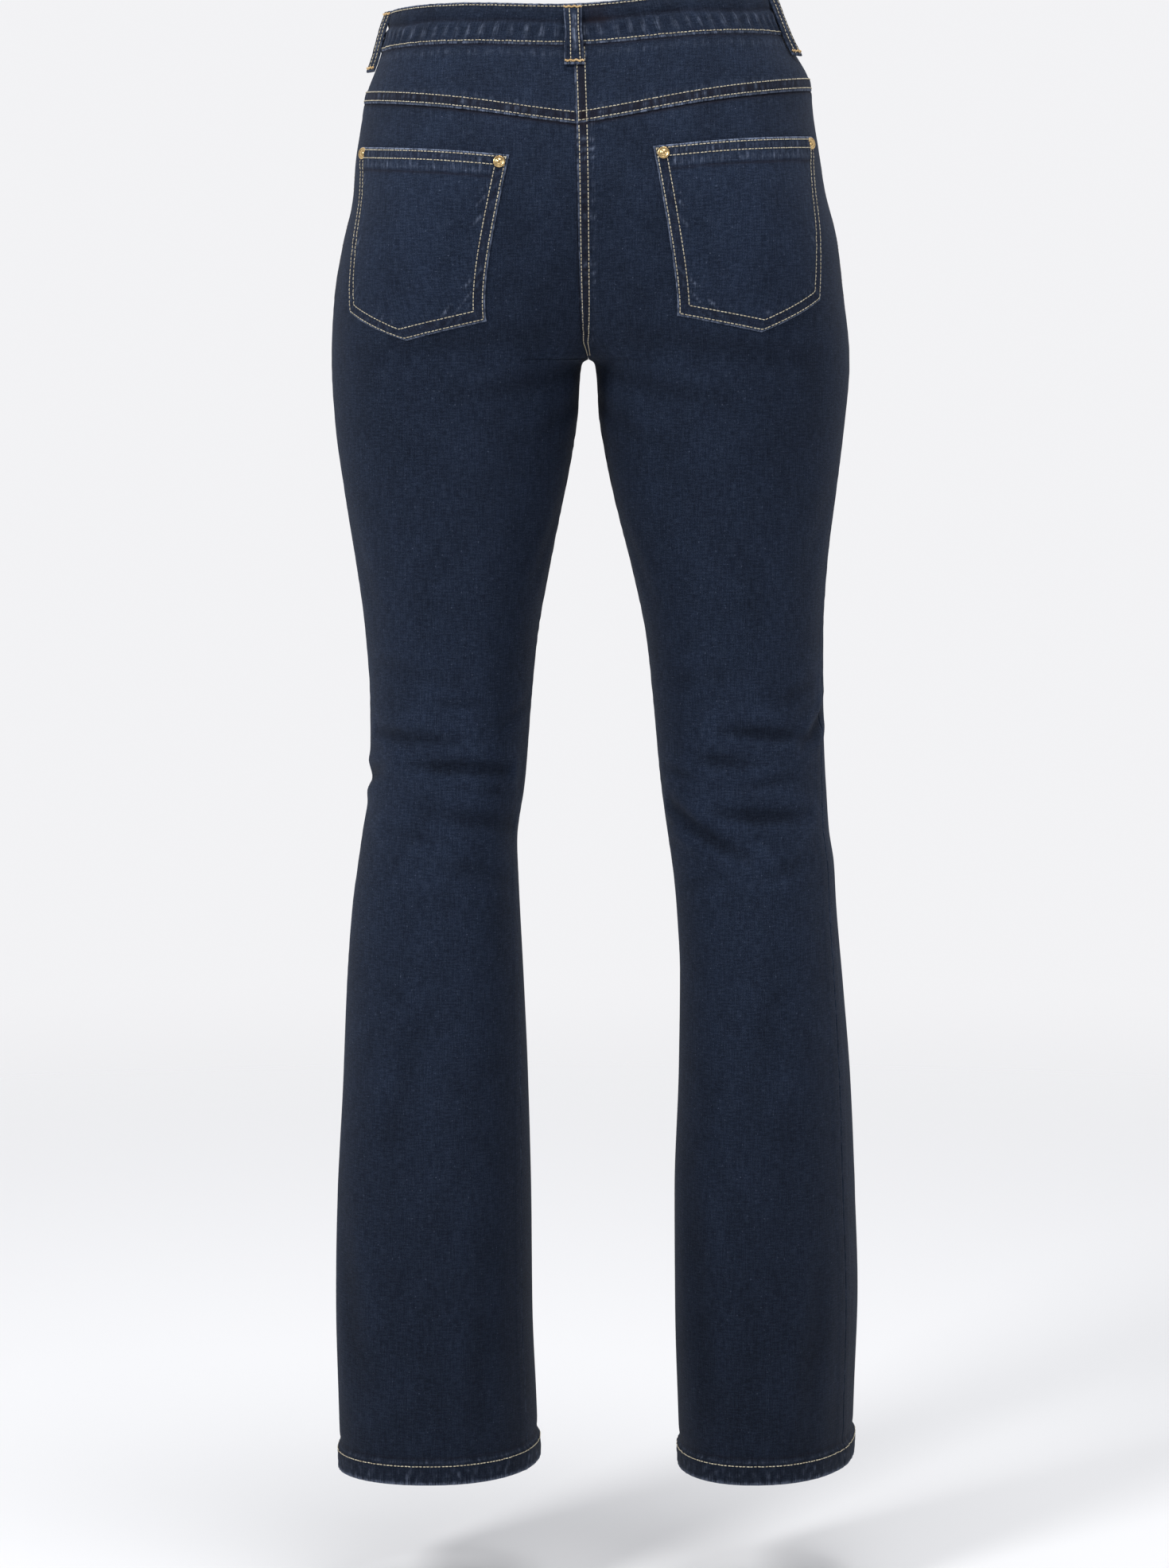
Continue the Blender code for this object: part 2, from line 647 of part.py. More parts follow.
def on_panel(panel, run, height):
    """The point of a panel's own facets at a place along its cloth, and the way out from it."""
    rows, cols = panel.outer.shape[:2]
    places = np.stack([panel.run, panel.heights], -1)
    for r in range(rows - 1):
        for c in range(cols - 1):
            for trio in (((r, c), (r, c + 1), (r + 1, c + 1)), ((r, c), (r + 1, c + 1), (r + 1, c))):
                corner, first, second = (places[k] for k in trio)
                matrix = np.array([first - corner, second - corner]).T
                u, v = np.linalg.solve(matrix, np.array([run, height]) - corner)
                if u >= 0 and v >= 0 and u + v <= 1:
                    shares = (1 - u - v, u, v)
                    point = sum(w * panel.outer[k] for w, k in zip(shares, trio))
                    way = sum(w * panel.direction[k] for w, k in zip(shares, trio))
                    return point, way / np.linalg.norm(way)
    raise ValueError("no place on the panel at " + str((run, height)))


def dome(radius, height):
    return ((0, 0), (radius * 0.86, 0), (radius, height * 0.35), (radius * 0.8, height * 0.8),
            (radius * 0.4, height * 0.98), (0, height))


def waistband(skins, look):
    """A strip all round, its left end lapped over its right end at the centre front."""
    left, right = skins[1], skins[-1]
    front_left = left.width("front", BAND_BOTTOM)
    front_right = right.width("front", BAND_BOTTOM)
    stations = [(left, "front", 1 - 28 / front_left, 0.0), (left, "front", 1 - 14 / front_left, 0.0)]
    stations += [(right, "front", u, 0.0) for u in np.linspace(1, 0.06, 13)]
    stations += [(right, "back", u, 0.0) for u in np.linspace(1, 0.05, 14)]
    stations += [(left, "back", u, 0.0) for u in np.linspace(0, 1, 14)]
    stations += [(left, "front", u, 0.0) for u in np.linspace(0.07, 1 - 62 / front_left, 8)]
    stations += [(left, "front", 1 - 34 / front_left, 1.0), (left, "front", 1 - 17 / front_left, 1.0)]
    stations += [(right, "front", 1.0, 1.0), (right, "front", 1 - 10 / front_right, 1.0)]
    levels = np.array((BAND_TOP, BAND_TOP - 1.2, (BAND_TOP + BAND_BOTTOM) / 2, BAND_BOTTOM + 1.2, BAND_BOTTOM))
    rounded = np.array((0.5, 0.0, 0.0, 0.0, 0.5))
    outer, inner = [], []
    for skin, face, share, lap in stations:
        way = skin.normal(face, share, levels)
        base = skin.point(face, share, levels) + way * (lap * LAP_RAISE)
        outer.append(base + way * (BAND_OUT - rounded)[:, None])
        inner.append(base - way * (BAND_IN - rounded)[:, None])
    add_object("waistband", *wall(np.array(outer), np.array(inner)), look)


def belt_loop(name, skin, face, share, look):
    """A strip tacked down at its ends that stands off the waistband between them."""
    profile = (
        # height, distance of the strip's inner face from the cloth
        (BAND_TOP - 1.0, BAND_OUT + SEAM_GAP),
        (BAND_TOP - 4.0, BAND_OUT + SEAM_GAP),
        (BAND_TOP - 7.5, BAND_OUT + LOOP_SLOT),
        (BAND_TOP - 15.0, BAND_OUT + LOOP_SLOT + 0.4),
        (BAND_BOTTOM + 7.0, BAND_OUT + LOOP_SLOT + 0.4),
        (BAND_BOTTOM - 1.0, BAND_OUT + LOOP_SLOT - 0.4),
        (BAND_BOTTOM - 7.0, BAND_OUT + FELL_RAISE),
        (BAND_BOTTOM - 13.0, BAND_OUT + FELL_RAISE),
    )
    way = skin.normal(face, share, BAND_BOTTOM)
    across = np.cross(way, (0.0, 0.0, 1.0))
    across /= np.linalg.norm(across)
    outer, inner = [], []
    for height, stand in profile:
        centre = skin.point(face, share, height)
        row_out, row_in = [], []
        for reach in (-0.5, 0.0, 0.5):
            here = centre + across * reach * LOOP_WIDTH
            row_in.append(here + way * stand)
            row_out.append(here + way * (stand + LOOP_CLOTH))
        outer.append(row_out)
        inner.append(row_in)
    add_object(name, *wall(np.array(outer), np.array(inner)), look)


def remove_all():
    for old in list(bpy.data.objects):
        bpy.data.objects.remove(old, do_unlink=True)


def main():
    remove_all()
    denim = material("indigo_denim", (0.012, 0.017, 0.033), 0.85)
    worn_denim = material("indigo_denim_pocket", (0.014, 0.020, 0.038), 0.85)
    brass = material("polished_brass", (0.72, 0.52, 0.25), 0.28, 1.0)
    heights = skin_heights()
    skins = {side: Skin(side, heights) for side in (1, -1)}
    names = {1: "left", -1: "right"}
    for side, skin in skins.items():
        back = back_panel(skin)
        back.build("back_" + names[side], denim)
        yoke_panel(skin).build("yoke_" + names[side], denim)
        front = front_panel(skin)
        front.build("front_" + names[side], denim)
        bearer(skin, denim)
        corners = list(POCKET_CORNERS[side])
        pocket = patch(back, back.run, corners, SEAM_GAP, POCKET_CLOTH)
        add_object("back_pocket_" + names[side], *pocket, worn_denim)
        for where, (run, height) in (("inner", corners[0]), ("outer", corners[1])):
            toward = RIVET_IN if where == "inner" else -RIVET_IN
            point, normal = on_panel(back, run + toward, height - RIVET_DOWN)
            centre = point + normal * (2 * SEAM_GAP + POCKET_CLOTH)
            add_object("rivet_" + names[side] + "_" + where,
                       *lathe(dome(RIVET_RADIUS, RIVET_HEIGHT), centre, normal), brass)
        if side > 0:
            placket = patch(front, front.run_back, list(PLACKET_CORNERS), SEAM_GAP, PLACKET_CLOTH)
            add_object("fly_placket", *placket, denim)
    waistband(skins, denim)
    belt_loop("belt_loop_back", skins[1], "back", 0.0, denim)
    belt_loop("belt_loop_side_left", skins[1], "back", 0.95, denim)
    belt_loop("belt_loop_side_right", skins[-1], "back", 0.84, denim)
    belt_loop("belt_loop_front_left", skins[1], "front", 0.45, denim)
    belt_loop("belt_loop_front_right", skins[-1], "front", 0.45, denim)
    share = 1 - 3.0 / skins[1].width("front", HELD_HEIGHT)
    out = np.array(BAND_OUT + LAP_RAISE + SEAM_GAP)
    add_object("waist_button", *lathe(dome(BUTTON_RADIUS, BUTTON_HEIGHT),
                                      skins[1].point("front", share, HELD_HEIGHT, out),
                                      skins[1].normal("front", share, HELD_HEIGHT), 20), brass)


main()
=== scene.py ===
"""The look of the bootcut jeans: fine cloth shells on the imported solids, sewing, fittings and light.

Sizes are in millimetres until points are written out in metres. Heights are above the hem.
"""
import math

import bpy
import numpy as np
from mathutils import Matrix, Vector


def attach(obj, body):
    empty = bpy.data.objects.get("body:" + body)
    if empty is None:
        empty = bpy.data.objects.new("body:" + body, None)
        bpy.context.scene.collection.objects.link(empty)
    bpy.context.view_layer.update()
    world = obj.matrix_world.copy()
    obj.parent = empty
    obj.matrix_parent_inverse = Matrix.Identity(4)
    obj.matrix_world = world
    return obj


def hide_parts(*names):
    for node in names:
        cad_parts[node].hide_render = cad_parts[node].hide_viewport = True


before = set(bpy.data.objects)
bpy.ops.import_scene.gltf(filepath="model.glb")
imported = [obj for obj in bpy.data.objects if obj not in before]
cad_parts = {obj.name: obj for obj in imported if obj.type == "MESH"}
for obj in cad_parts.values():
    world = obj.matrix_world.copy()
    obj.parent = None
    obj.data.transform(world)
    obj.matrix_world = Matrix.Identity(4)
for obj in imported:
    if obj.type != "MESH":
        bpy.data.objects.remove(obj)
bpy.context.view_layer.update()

MM = 0.001
SIDE_NAMES = {1: "left", -1: "right"}

# Heights of the garment's main lines. Points are written out from the height at which it is held.
HELD_HEIGHT = 1045.0
BAND_TOP = 1060.3
BAND_BOTTOM = 1030.3
YOKE_CENTRE = 973.0
YOKE_RISE = 20.0
YOKE_MIDDLE = 1000.0
POCKETS_END = 900.0
FORK_HEIGHT = 806.2

# How the legs' tubes run together near the fork, and how the waist tilts and dips.
FORK_BLEND = 32.0
FORK_SPREAD = 0.62
CALM_REACH = 16.0
ROUNDNESS = 2.15
SKIN_COLUMNS = 240
WAIST_TILT = 0.0416
BACK_DIP = 7.2
BACK_DIP_WIDTH = 75.0

# Thicknesses of the cloth, and the small gaps and laps between its pieces.
CLOTH = 1.1
POCKET_CLOTH = 1.3
LOOP_CLOTH = 1.7
FLY_THICK = 1.0
SEAM_GAP = 0.3
PLY_GAP = 0.04
PLY_LAP = 1.2
CLEAR = 0.12

# The leg's upright thread line lies this far out. Folds are this much tighter than their table says,
# and the ridges beside them rise by this share of their depth.
GRAIN_LINE = 98.0
FOLD_TIGHTER = 0.66
FOLD_RIDGE = 0.55

# Felled seams, and the distances of their two rows from the edge.
FELL_WIDTH = 9.4
FELL_ROWS = (2.0, 8.2)
FELL_RAISE = 0.9
CENTRE_WIDTH = 8.6
CENTRE_ROWS = (1.7, 7.3)
CENTRE_ROWS_TOP = 972.0

# The hems, and the pitch of the ropes in them.
HEM_DEPTH = 15.5
HEM_ROW = HEM_DEPTH - 1.9
HEM_ROPE = 7.0

# How far the waistband stands out and in and rises where it laps, with its loops and button.
BAND_OUT = 0.9
BAND_IN = 1.4
LAP_RAISE = 2.7
LOOP_WIDTH = 13.0
LOOP_SLOT = 3.4
BUTTON_IN = 3.0

# The front pocket mouths, with the facing under them, and the fly's J.
MOUTH_WIDTH = 92.0
MOUTH_DEPTH = 72.0
MOUTH_ROWS = (1.8, 7.8)
MOUTH_LOW = 850.0
SIDE_ROW = 1.8
BEARER_SINK = 2.2
BEARER_BOTTOM = 942.0
BEARER_UNDER = 18.0
FLY_ROWS = (1.7, 7.7)
FLY_WIDTH = 37.0
FLY_BEND = 930.0
FLY_LOW = 886.8
FLY_TURN = 888.5

# Stitches, and the size at which a back pocket's grid is laid out.
STITCH_PITCH = 2.75
STITCH_LENGTH = 2.2
THREAD_RADIUS = 0.33
POCKET_SIZE = 125.0

# Where each piece's ripples start along their wave.
BACK_SEEDS = {1: 0.7, -1: 2.9}
FRONT_SEEDS = {1: 1.9, -1: 4.4}
YOKE_SEEDS = {1: 3.7, -1: 5.9}

# Widest points to each side.
OUTER = (
    # height, left, right
    (0, 181.5, 196.5),
    (50, 183.0, 197.5),
    (120, 184.6, 199.3),
    (200, 183.2, 196.8),
    (280, 179.2, 192.8),
    (350, 176.4, 186.9),
    (410, 172.0, 181.5),
    (440, 168.0, 179.7),
    (465, 164.4, 175.9),
    (490, 160.3, 174.1),
    (520, 158.7, 172.3),
    (560, 158.9, 171.0),
    (610, 162.1, 170.6),
    (660, 168.4, 173.2),
    (710, 176.1, 178.9),
    (760, 182.7, 184.7),
    (805, 185.1, 188.3),
    (850, 182.8, 183.3),
    (890, 176.3, 178.2),
    (925, 168.7, 169.2),
    (950, 166.9, 165.2),
    (975, 163.2, 161.1),
    (1000, 159.1, 158.2),
    (1020, 151.9, 147.9),
    (1040, 145.4, 138.3),
    (1064, 139.9, 131.2),
)

# Widest points between the legs. Above the fork they pass the middle, so the two legs run together.
INNER = (
    # height, left, right
    (0, 37.0, 67.3),
    (40, 38.4, 65.8),
    (110, 41.3, 63.6),
    (200, 42.2, 63.0),
    (290, 44.5, 66.0),
    (360, 47.6, 66.8),
    (405, 50.0, 64.6),
    (430, 51.2, 62.4),
    (455, 52.1, 59.0),
    (500, 46.3, 53.0),
    (560, 41.5, 47.4),
    (606, 37.1, 42.3),
    (652, 29.1, 32.7),
    (698, 20.0, 21.0),
    (722, 15.0, 15.4),
    (745, 10.9, 11.0),
    (768, 7.8, 7.5),
    (790, 6.6, 6.4),
    (801, 5.3, 5.0),
    (804, 4.0, 3.8),
    (805.5, 2.1, 2.1),
    (806.2, 0.15, 0.15),
    (807.7, -3, -3),
    (812.2, -9, -9),
    (821.2, -22, -22),
    (836.2, -42, -42),
    (856.2, -66, -66),
    (886.2, -105, -105),
    (916.2, -150, -150),
    (976.2, -260, -260),
    (1064.2, -330, -330),
)

# The view from the side.
DEPTH = (
    # height, back, front
    (0, 86, -80),
    (51, 85, -79),
    (113, 83, -76),
    (185, 81, -73),
    (257, 79, -71),
    (329, 76, -71),
    (391, 71, -73),
    (442, 65, -77),
    (488, 60, -82),
    (535, 60, -87),
    (581, 65, -90),
    (627, 72, -92),
    (678, 80, -93),
    (730, 89, -94),
    (771, 98, -96),
    (805.9, 107, -99),
    (841, 117, -103),
    (880, 126, -108),
    (918, 129.5, -112),
    (957, 125, -114),
    (991, 117, -114),
    (1030, 106, -111),
    (1064, 97, -106),
)

# Where the fullest points lie across and the widest points lie front to back, with each leg's turn.
LEFT_TURN = (
    # height, back_x, front_x, outer_y, inner_y
    (0, 116, 98, 22, -15),
    (113, 117, 105, 18, -12),
    (329, 116, 108, 5, -5),
    (488, 104, 103, -12, -14),
    (581, 100, 99, -12, -14),
    (720, 98, 97, -4, -6),
    (805.9, 95, 92, 0, -4),
    (918, 84, 66, 2, -4),
    (991, 52, 36, 0, -4),
    (1064, 24, 20, -4, -4),
)
RIGHT_TURN = (
    # height, back_x, front_x, outer_y, inner_y
    (0, 118, 140, -42, 14),
    (113, 120, 137, -36, 12),
    (329, 122, 130, -18, 5),
    (488, 113, 114, -14, -8),
    (581, 107, 108, -12, -12),
    (720, 99, 98, -4, -6),
    (805.9, 97, 94, 0, -4),
    (918, 82, 64, 2, -4),
    (991, 48, 34, 0, -4),
    (1064, 12, 16, -4, -4),
)

# The middle seams, which part left from right.
MIDDLE_SEAMS = (
    # height, back_x, front_x
    (806.2, 0, 0),
    (821, 4, 0),
    (974, 8.5, 2),
    (1064, 11.5, 4),
)
# How far round each leg its seams lie from the widest points, with the turn of the leg: an outseam
# toward the front and an inseam toward the back.
LEG_SEAMS = (
    # height, left outseam, left inseam, right outseam, right inseam
    (0, 30, 48, -72, -48),
    (185, 25, 42, -66, -42),
    (360, 12, 28, -50, -28),
    (514, 0, 12, -30, -12),
    (668, 0, 2, -8, -2),
    (740, 0, 0, 0, 0),
    (1064, 0, 0, 0, 0),
)

# Troughs of the folds and creases. Each runs from one place to another, around being the share of a
# panel's width away from the outseam, less than nothing on the back.
FOLDS = (
    # side, around_1, height_1, around_2, height_2, half_width, depth
    (1, -0.18, 539, -0.56, 532, 9, 3.0),
    (1, -0.36, 520, -0.80, 511, 9, 3.4),
    (1, -0.22, 512, 0.06, 500, 9, 2.4),
    (1, -0.45, 484, -0.92, 470, 10, 1.8),
    (-1, -0.48, 541, -0.16, 537, 9, 3.0),
    (-1, -0.58, 521, -0.36, 521, 9, 2.4),
    (-1, -0.54, 482, -0.13, 479, 9, 3.0),
    (-1, -0.76, 485, -0.40, 453, 10, 3.4),
    (-1, 0.05, 556, -0.15, 530, 9, 2.6),
    (1, 0.50, 860, 0.90, 829, 11, 2.2),
    (1, 0.55, 820, 0.88, 810, 10, 1.8),
    (-1, 0.48, 854, 0.90, 824, 11, 2.2),
    (-1, 0.56, 812, 0.86, 804, 10, 1.8),
    (1, 0.25, 563, 0.68, 553, 11, 1.8),
    (-1, 0.30, 572, 0.75, 556, 11, 1.8),
    # the smaller creases
    (1, -0.47, 562, -0.62, 560, 5, 1.3),
    (1, -0.28, 530, -0.50, 524, 5, 1.1),
    (1, -0.60, 500, -0.84, 495, 6, 1.2),
    (1, -0.12, 526, -0.30, 527, 5, 1.2),
    (1, -0.30, 470, -0.62, 462, 8, 0.9),
    (1, -0.55, 448, -0.92, 430, 9, 0.9),
    (1, -0.15, 590, -0.55, 578, 10, 0.7),
    (1, -0.70, 545, -0.92, 560, 7, 0.8),
    (-1, -0.30, 528, -0.48, 530, 5, 1.1),
    (-1, -0.60, 508, -0.80, 512, 6, 1.2),
    (-1, -0.20, 508, -0.42, 500, 6, 1.3),
    (-1, -0.62, 468, -0.88, 474, 6, 1.0),
    (-1, -0.28, 462, -0.46, 466, 5, 0.9),
    (-1, -0.14, 448, -0.36, 436, 8, 1.0),
    (-1, -0.50, 440, -0.72, 424, 8, 0.8),
    (-1, -0.40, 586, -0.78, 574, 10, 0.7),
    (-1, -0.10, 576, -0.30, 560, 8, 0.8),
    (1, -0.30, 812, -0.86, 826, 12, 1.0),
    (-1, -0.30, 806, -0.84, 824, 12, 1.0),
    (1, -0.52, 780, -0.94, 802, 9, 1.1),
    (-1, -0.50, 776, -0.94, 802, 9, 1.1),
    (1, -0.66, 748, -0.95, 780, 9, 0.8),
    (-1, -0.62, 742, -0.95, 778, 9, 0.8),
    (1, -0.92, 700, -0.80, 640, 10, 0.6),
    (-1, -0.90, 690, -0.78, 630, 10, 0.6),
    (1, -0.10, 700, -0.22, 620, 12, 0.5),
    (-1, -0.12, 720, -0.24, 640, 12, 0.5),
    (1, -0.60, 360, -0.46, 250, 14, 0.8),
    (-1, -0.30, 380, -0.42, 240, 14, 0.8),
    (1, -0.25, 200, -0.36, 60, 15, 0.9),
    (-1, -0.62, 220, -0.52, 40, 15, 0.9),
    (1, -0.80, 180, -0.74, 20, 13, 0.7),
    (-1, -0.16, 160, -0.22, 15, 12, 0.7),
    (1, 0.42, 884, 0.88, 858, 9, 1.2),
    (-1, 0.40, 878, 0.88, 852, 9, 1.2),
    (1, 0.35, 842, 0.80, 838, 8, 0.9),
    (-1, 0.36, 836, 0.82, 832, 8, 0.9),
    (1, 0.62, 790, 0.92, 782, 8, 1.0),
    (-1, 0.60, 786, 0.92, 778, 8, 1.0),
    (1, 0.30, 590, 0.66, 596, 9, 0.9),
    (-1, 0.28, 604, 0.70, 598, 9, 0.9),
    (1, 0.35, 520, 0.72, 512, 9, 0.9),
    (-1, 0.30, 524, 0.66, 520, 9, 0.9),
    (1, 0.40, 380, 0.52, 230, 15, 0.8),
    (-1, 0.50, 360, 0.42, 220, 15, 0.8),
    (1, 0.70, 210, 0.62, 40, 14, 0.9),
    (-1, 0.28, 190, 0.34, 30, 14, 0.9),
)
# A panel's width for the folds, and the share of it over which they fade at its edges.
FOLD_REACH = 205.0
FOLD_END = 0.07


# Each back pocket's corners as (distance from the centre back, height), from the upper inner one round.
POCKET_CORNERS = {
    1: ((47.2, 950.2), (187.9, 959.3), (186.5, 839.5), (140.3, 819.2), (74.7, 833.2)),
    -1: ((52.6, 953.9), (200.0, 959.3), (184.3, 846.9), (136.0, 824.9), (73.2, 836.7)),
}
RIVET_IN = 7.2
RIVET_DOWN = 5.2
RIVET_LEAN = 0.45


def curve(rows, column, height):
    """Read one column of a table at any height, along a smooth line that never overshoots."""
    table = np.array(rows, dtype=float)
    known, values = table[:, 0], table[:, column]
    step = np.diff(known)
    rise = np.diff(values) / step
    slope = np.zeros(len(known))
    before, after = rise[:-1], rise[1:]
    bends_one_way = before * after > 0
    near = 2 * step[1:] + step[:-1]
    far = step[1:] + 2 * step[:-1]
    safe_before = np.where(bends_one_way, before, 1.0)
    safe_after = np.where(bends_one_way, after, 1.0)
    slope[1:-1] = np.where(bends_one_way, (near + far) / (near / safe_before + far / safe_after), 0.0)
    slope[0], slope[-1] = rise[0], rise[-1]
    height = np.clip(height, known[0], known[-1])
    cell = np.clip(np.searchsorted(known, height, side="right") - 1, 0, len(step) - 1)
    t = (height - known[cell]) / step[cell]
    return ((2 * t**3 - 3 * t**2 + 1) * values[cell] + (t**3 - 2 * t**2 + t) * step[cell] * slope[cell]
            + (3 * t**2 - 2 * t**3) * values[cell + 1] + (t**3 - t**2) * step[cell] * slope[cell + 1])


def arc(turn, power=2 / ROUNDNESS):
    """Cosine and sine of a turn, drawn out to the fuller corner of a worn tube."""
    return np.abs(np.cos(turn)) ** power, np.abs(np.sin(turn)) ** power


def outline(side, heights, quarter=48):
    """The closed line round one leg or half the hips: its back part and its front part."""
    h = np.asarray(heights, dtype=float)[:, None]
    column = 1 if side > 0 else 2
    turn_rows = LEFT_TURN if side > 0 else RIGHT_TURN
    outer, inner = curve(OUTER, column, h), curve(INNER, column, h)
    back, front = curve(DEPTH, 1, h), curve(DEPTH, 2, h)
    back_x, front_x, outer_y, inner_y = (curve(turn_rows, k, h) for k in (1, 2, 3, 4))
    split_back = np.maximum(side * curve(MIDDLE_SEAMS, 1, h) + PLY_GAP / 2, inner)
    split_front = np.maximum(side * curve(MIDDLE_SEAMS, 2, h) + PLY_GAP / 2, inner)
    way = np.linspace(0, 1, quarter)[None, :]
    full = math.pi / 2
    start = np.arccos(np.clip((back_x - split_back) / (back_x - inner), 0, 1) ** (ROUNDNESS / 2))
    c, s = arc(start + (full - start) * way)
    back_inner = np.stack([back_x - (back_x - inner) * c, inner_y + (back - inner_y) * s], -1)
    c, s = arc(full * way)
    back_outer = np.stack([back_x + (outer - back_x) * s, outer_y + (back - outer_y) * c], -1)
    front_outer = np.stack([front_x + (outer - front_x) * c, outer_y + (front - outer_y) * s], -1)
    end = np.arccos(np.clip((front_x - split_front) / (front_x - inner), 0, 1) ** (ROUNDNESS / 2))
    c, s = arc(full - (full - end) * way)
    front_inner = np.stack([front_x - (front_x - inner) * c, inner_y + (front - inner_y) * s], -1)
    return (np.concatenate([back_inner, back_outer[:, 1:]], 1),
            np.concatenate([front_outer, front_inner[:, 1:]], 1))


def meet_at_middle(lines, other, depth_at):
    """Bring the two sides' lines to the same depth where they meet at a middle seam."""
    gap = (other[:, depth_at, 1] - lines[:, depth_at, 1])[:, None] / 2
    away = np.abs(lines[:, :, 0] - lines[:, depth_at, 0][:, None])
    lines[:, :, 1] += gap * np.exp(-(away / 30.0) ** 2)


def lift(x, y, height):
    """Height added near the waist by its tilt and its dip at the centre back."""
    share = np.clip((height - FORK_HEIGHT) / (BAND_TOP - FORK_HEIGHT), 0, 1) ** 1.2
    behind = np.clip(y / 40.0, 0, 1)
    dip = BACK_DIP * np.exp(-((x - 8.0) / BACK_DIP_WIDTH) ** 2) * behind
    return share * (-WAIST_TILT * x - dip)


def unit(ways):
    """The same directions, each of length one."""
    return ways / np.maximum(np.linalg.norm(ways, axis=-1, keepdims=True), 1e-9)


class Skin:
    """The outer face of one side's cloth, read by face, share of the way across and height."""

    def __init__(self, side, heights):
        self.side = side
        self.heights = heights
        own = outline(side, heights)
        other = outline(-side, heights)
        joined = curve(INNER, 1 if side > 0 else 2, heights) < SEAM_GAP / 2 - 1e-6
        for part, depth_at in ((0, 0), (1, -1)):
            met = own[part].copy()
            meet_at_middle(met, other[part], depth_at)
            own[part][joined] = met[joined]
        whole = np.concatenate([own[0], own[1][:, 1:]], 1)
        run = np.hypot(*np.moveaxis(np.diff(whole, axis=1), -1, 0))
        run = np.concatenate([np.zeros((len(heights), 1)), np.cumsum(run, 1)], 1)
        seam = run[:, own[0].shape[1] - 1] + curve(LEG_SEAMS, 1 if side > 0 else 3, heights)
        inseam = curve(LEG_SEAMS, 2 if side > 0 else 4, heights)
        round_run = np.concatenate([run[:, :-1] - run[:, -1:], run, run[:, 1:] + run[:, -1:]], 1)
        round_line = np.concatenate([whole[:, :-1], whole, whole[:, 1:]], 1)
        edge = np.where(joined, 0.0, PLY_GAP / 2)
        share = np.linspace(0, 1, SKIN_COLUMNS)
        self.points, self.across, self.normals = {}, {}, {}
        spans = {"back": (inseam + edge, seam - PLY_GAP / 2),
                 "front": (seam + PLY_GAP / 2, run[:, -1] + inseam - edge)}
        for face, (first, last) in spans.items():
            place = self.spread(face, first, last, share)
            x = np.array([np.interp(p, r, w[:, 0]) for p, r, w in zip(place, round_run, round_line)])
            y = np.array([np.interp(p, r, w[:, 1]) for p, r, w in zip(place, round_run, round_line)])
            height = np.repeat(heights[:, None], SKIN_COLUMNS, 1)
            points = np.stack([side * x, y, height + lift(side * x, y, height)], -1)
            points = self.calm(face, points, share)
            self.across[face] = place - first[:, None]
            normals = self.find_normals(points)
            points = points + normals * self.relief(face, share[None, :], height)[..., None]
            self.points[face], self.normals[face] = points, self.find_normals(points)

    def spread(self, face, first, last, share):
        """Places across a face. Near the fork only those next to the middle seam move up quickly."""
        length = last - first
        near = np.exp(-((self.heights[:, None] - self.heights[None, :]) / FORK_BLEND) ** 2)
        near *= np.gradient(self.heights)[None, :]
        slow = (near @ length) / near.sum(1)
        from_outseam = 1 - share if face == "back" else share
        edge = np.clip((from_outseam - FORK_SPREAD) / (1 - FORK_SPREAD), 0, 1) ** 2
        run = slow[:, None] * from_outseam[None, :] + (length - slow)[:, None] * edge[None, :]
        return last[:, None] - run if face == "back" else first[:, None] + run

    def calm(self, face, points, share):
        """Level out the rows near the fork, away from the middle seam, where the legs' tubes join."""
        heights = self.heights
        near = np.exp(-((heights[:, None] - heights[None, :]) / CALM_REACH) ** 2)
        near *= np.gradient(heights)[None, :]
        near /= near.sum(1, keepdims=True)
        level = np.einsum("ij,jkl->ikl", near, points)
        from_middle = share if face == "back" else 1 - share
        amount = smooth(from_middle, 0.04, 0.34)[None, :] * bump(heights, FORK_HEIGHT, 42.0)[:, None]
        return points + amount[..., None] * (level - points)

    def find_normals(self, points):
        """The outward direction at every point of a face."""
        along = np.gradient(points, axis=1)
        up = np.gradient(points, self.heights, axis=0)
        return unit(np.cross(along, up) * -self.side)

    def relief(self, face, across, height):
        """How far the folds move the cloth in or out."""
        around = across - 1 if face == "back" else across
        total = np.zeros(np.broadcast(around, height).shape)
        for side, a1, h1, a2, h2, width, depth in FOLDS:
            if side != self.side:
                continue
            du, dh = (a2 - a1) * FOLD_REACH, h2 - h1
            pu, ph = (around - a1) * FOLD_REACH, height - h1
            along = np.clip((pu * du + ph * dh) / (du * du + dh * dh), 0, 1)
            away = np.hypot(pu - along * du, ph - along * dh) / FOLD_TIGHTER
            fade = np.sin(math.pi * (0.08 + 0.84 * along)) ** 0.8
            trough = -np.exp(-(away / width) ** 2)
            ridge = FOLD_RIDGE * np.exp(-((away - 1.9 * width) / width) ** 2)
            total += depth * fade * (trough + ridge)
        return total * np.clip((1 - np.abs(around)) / FOLD_END, 0, 1)

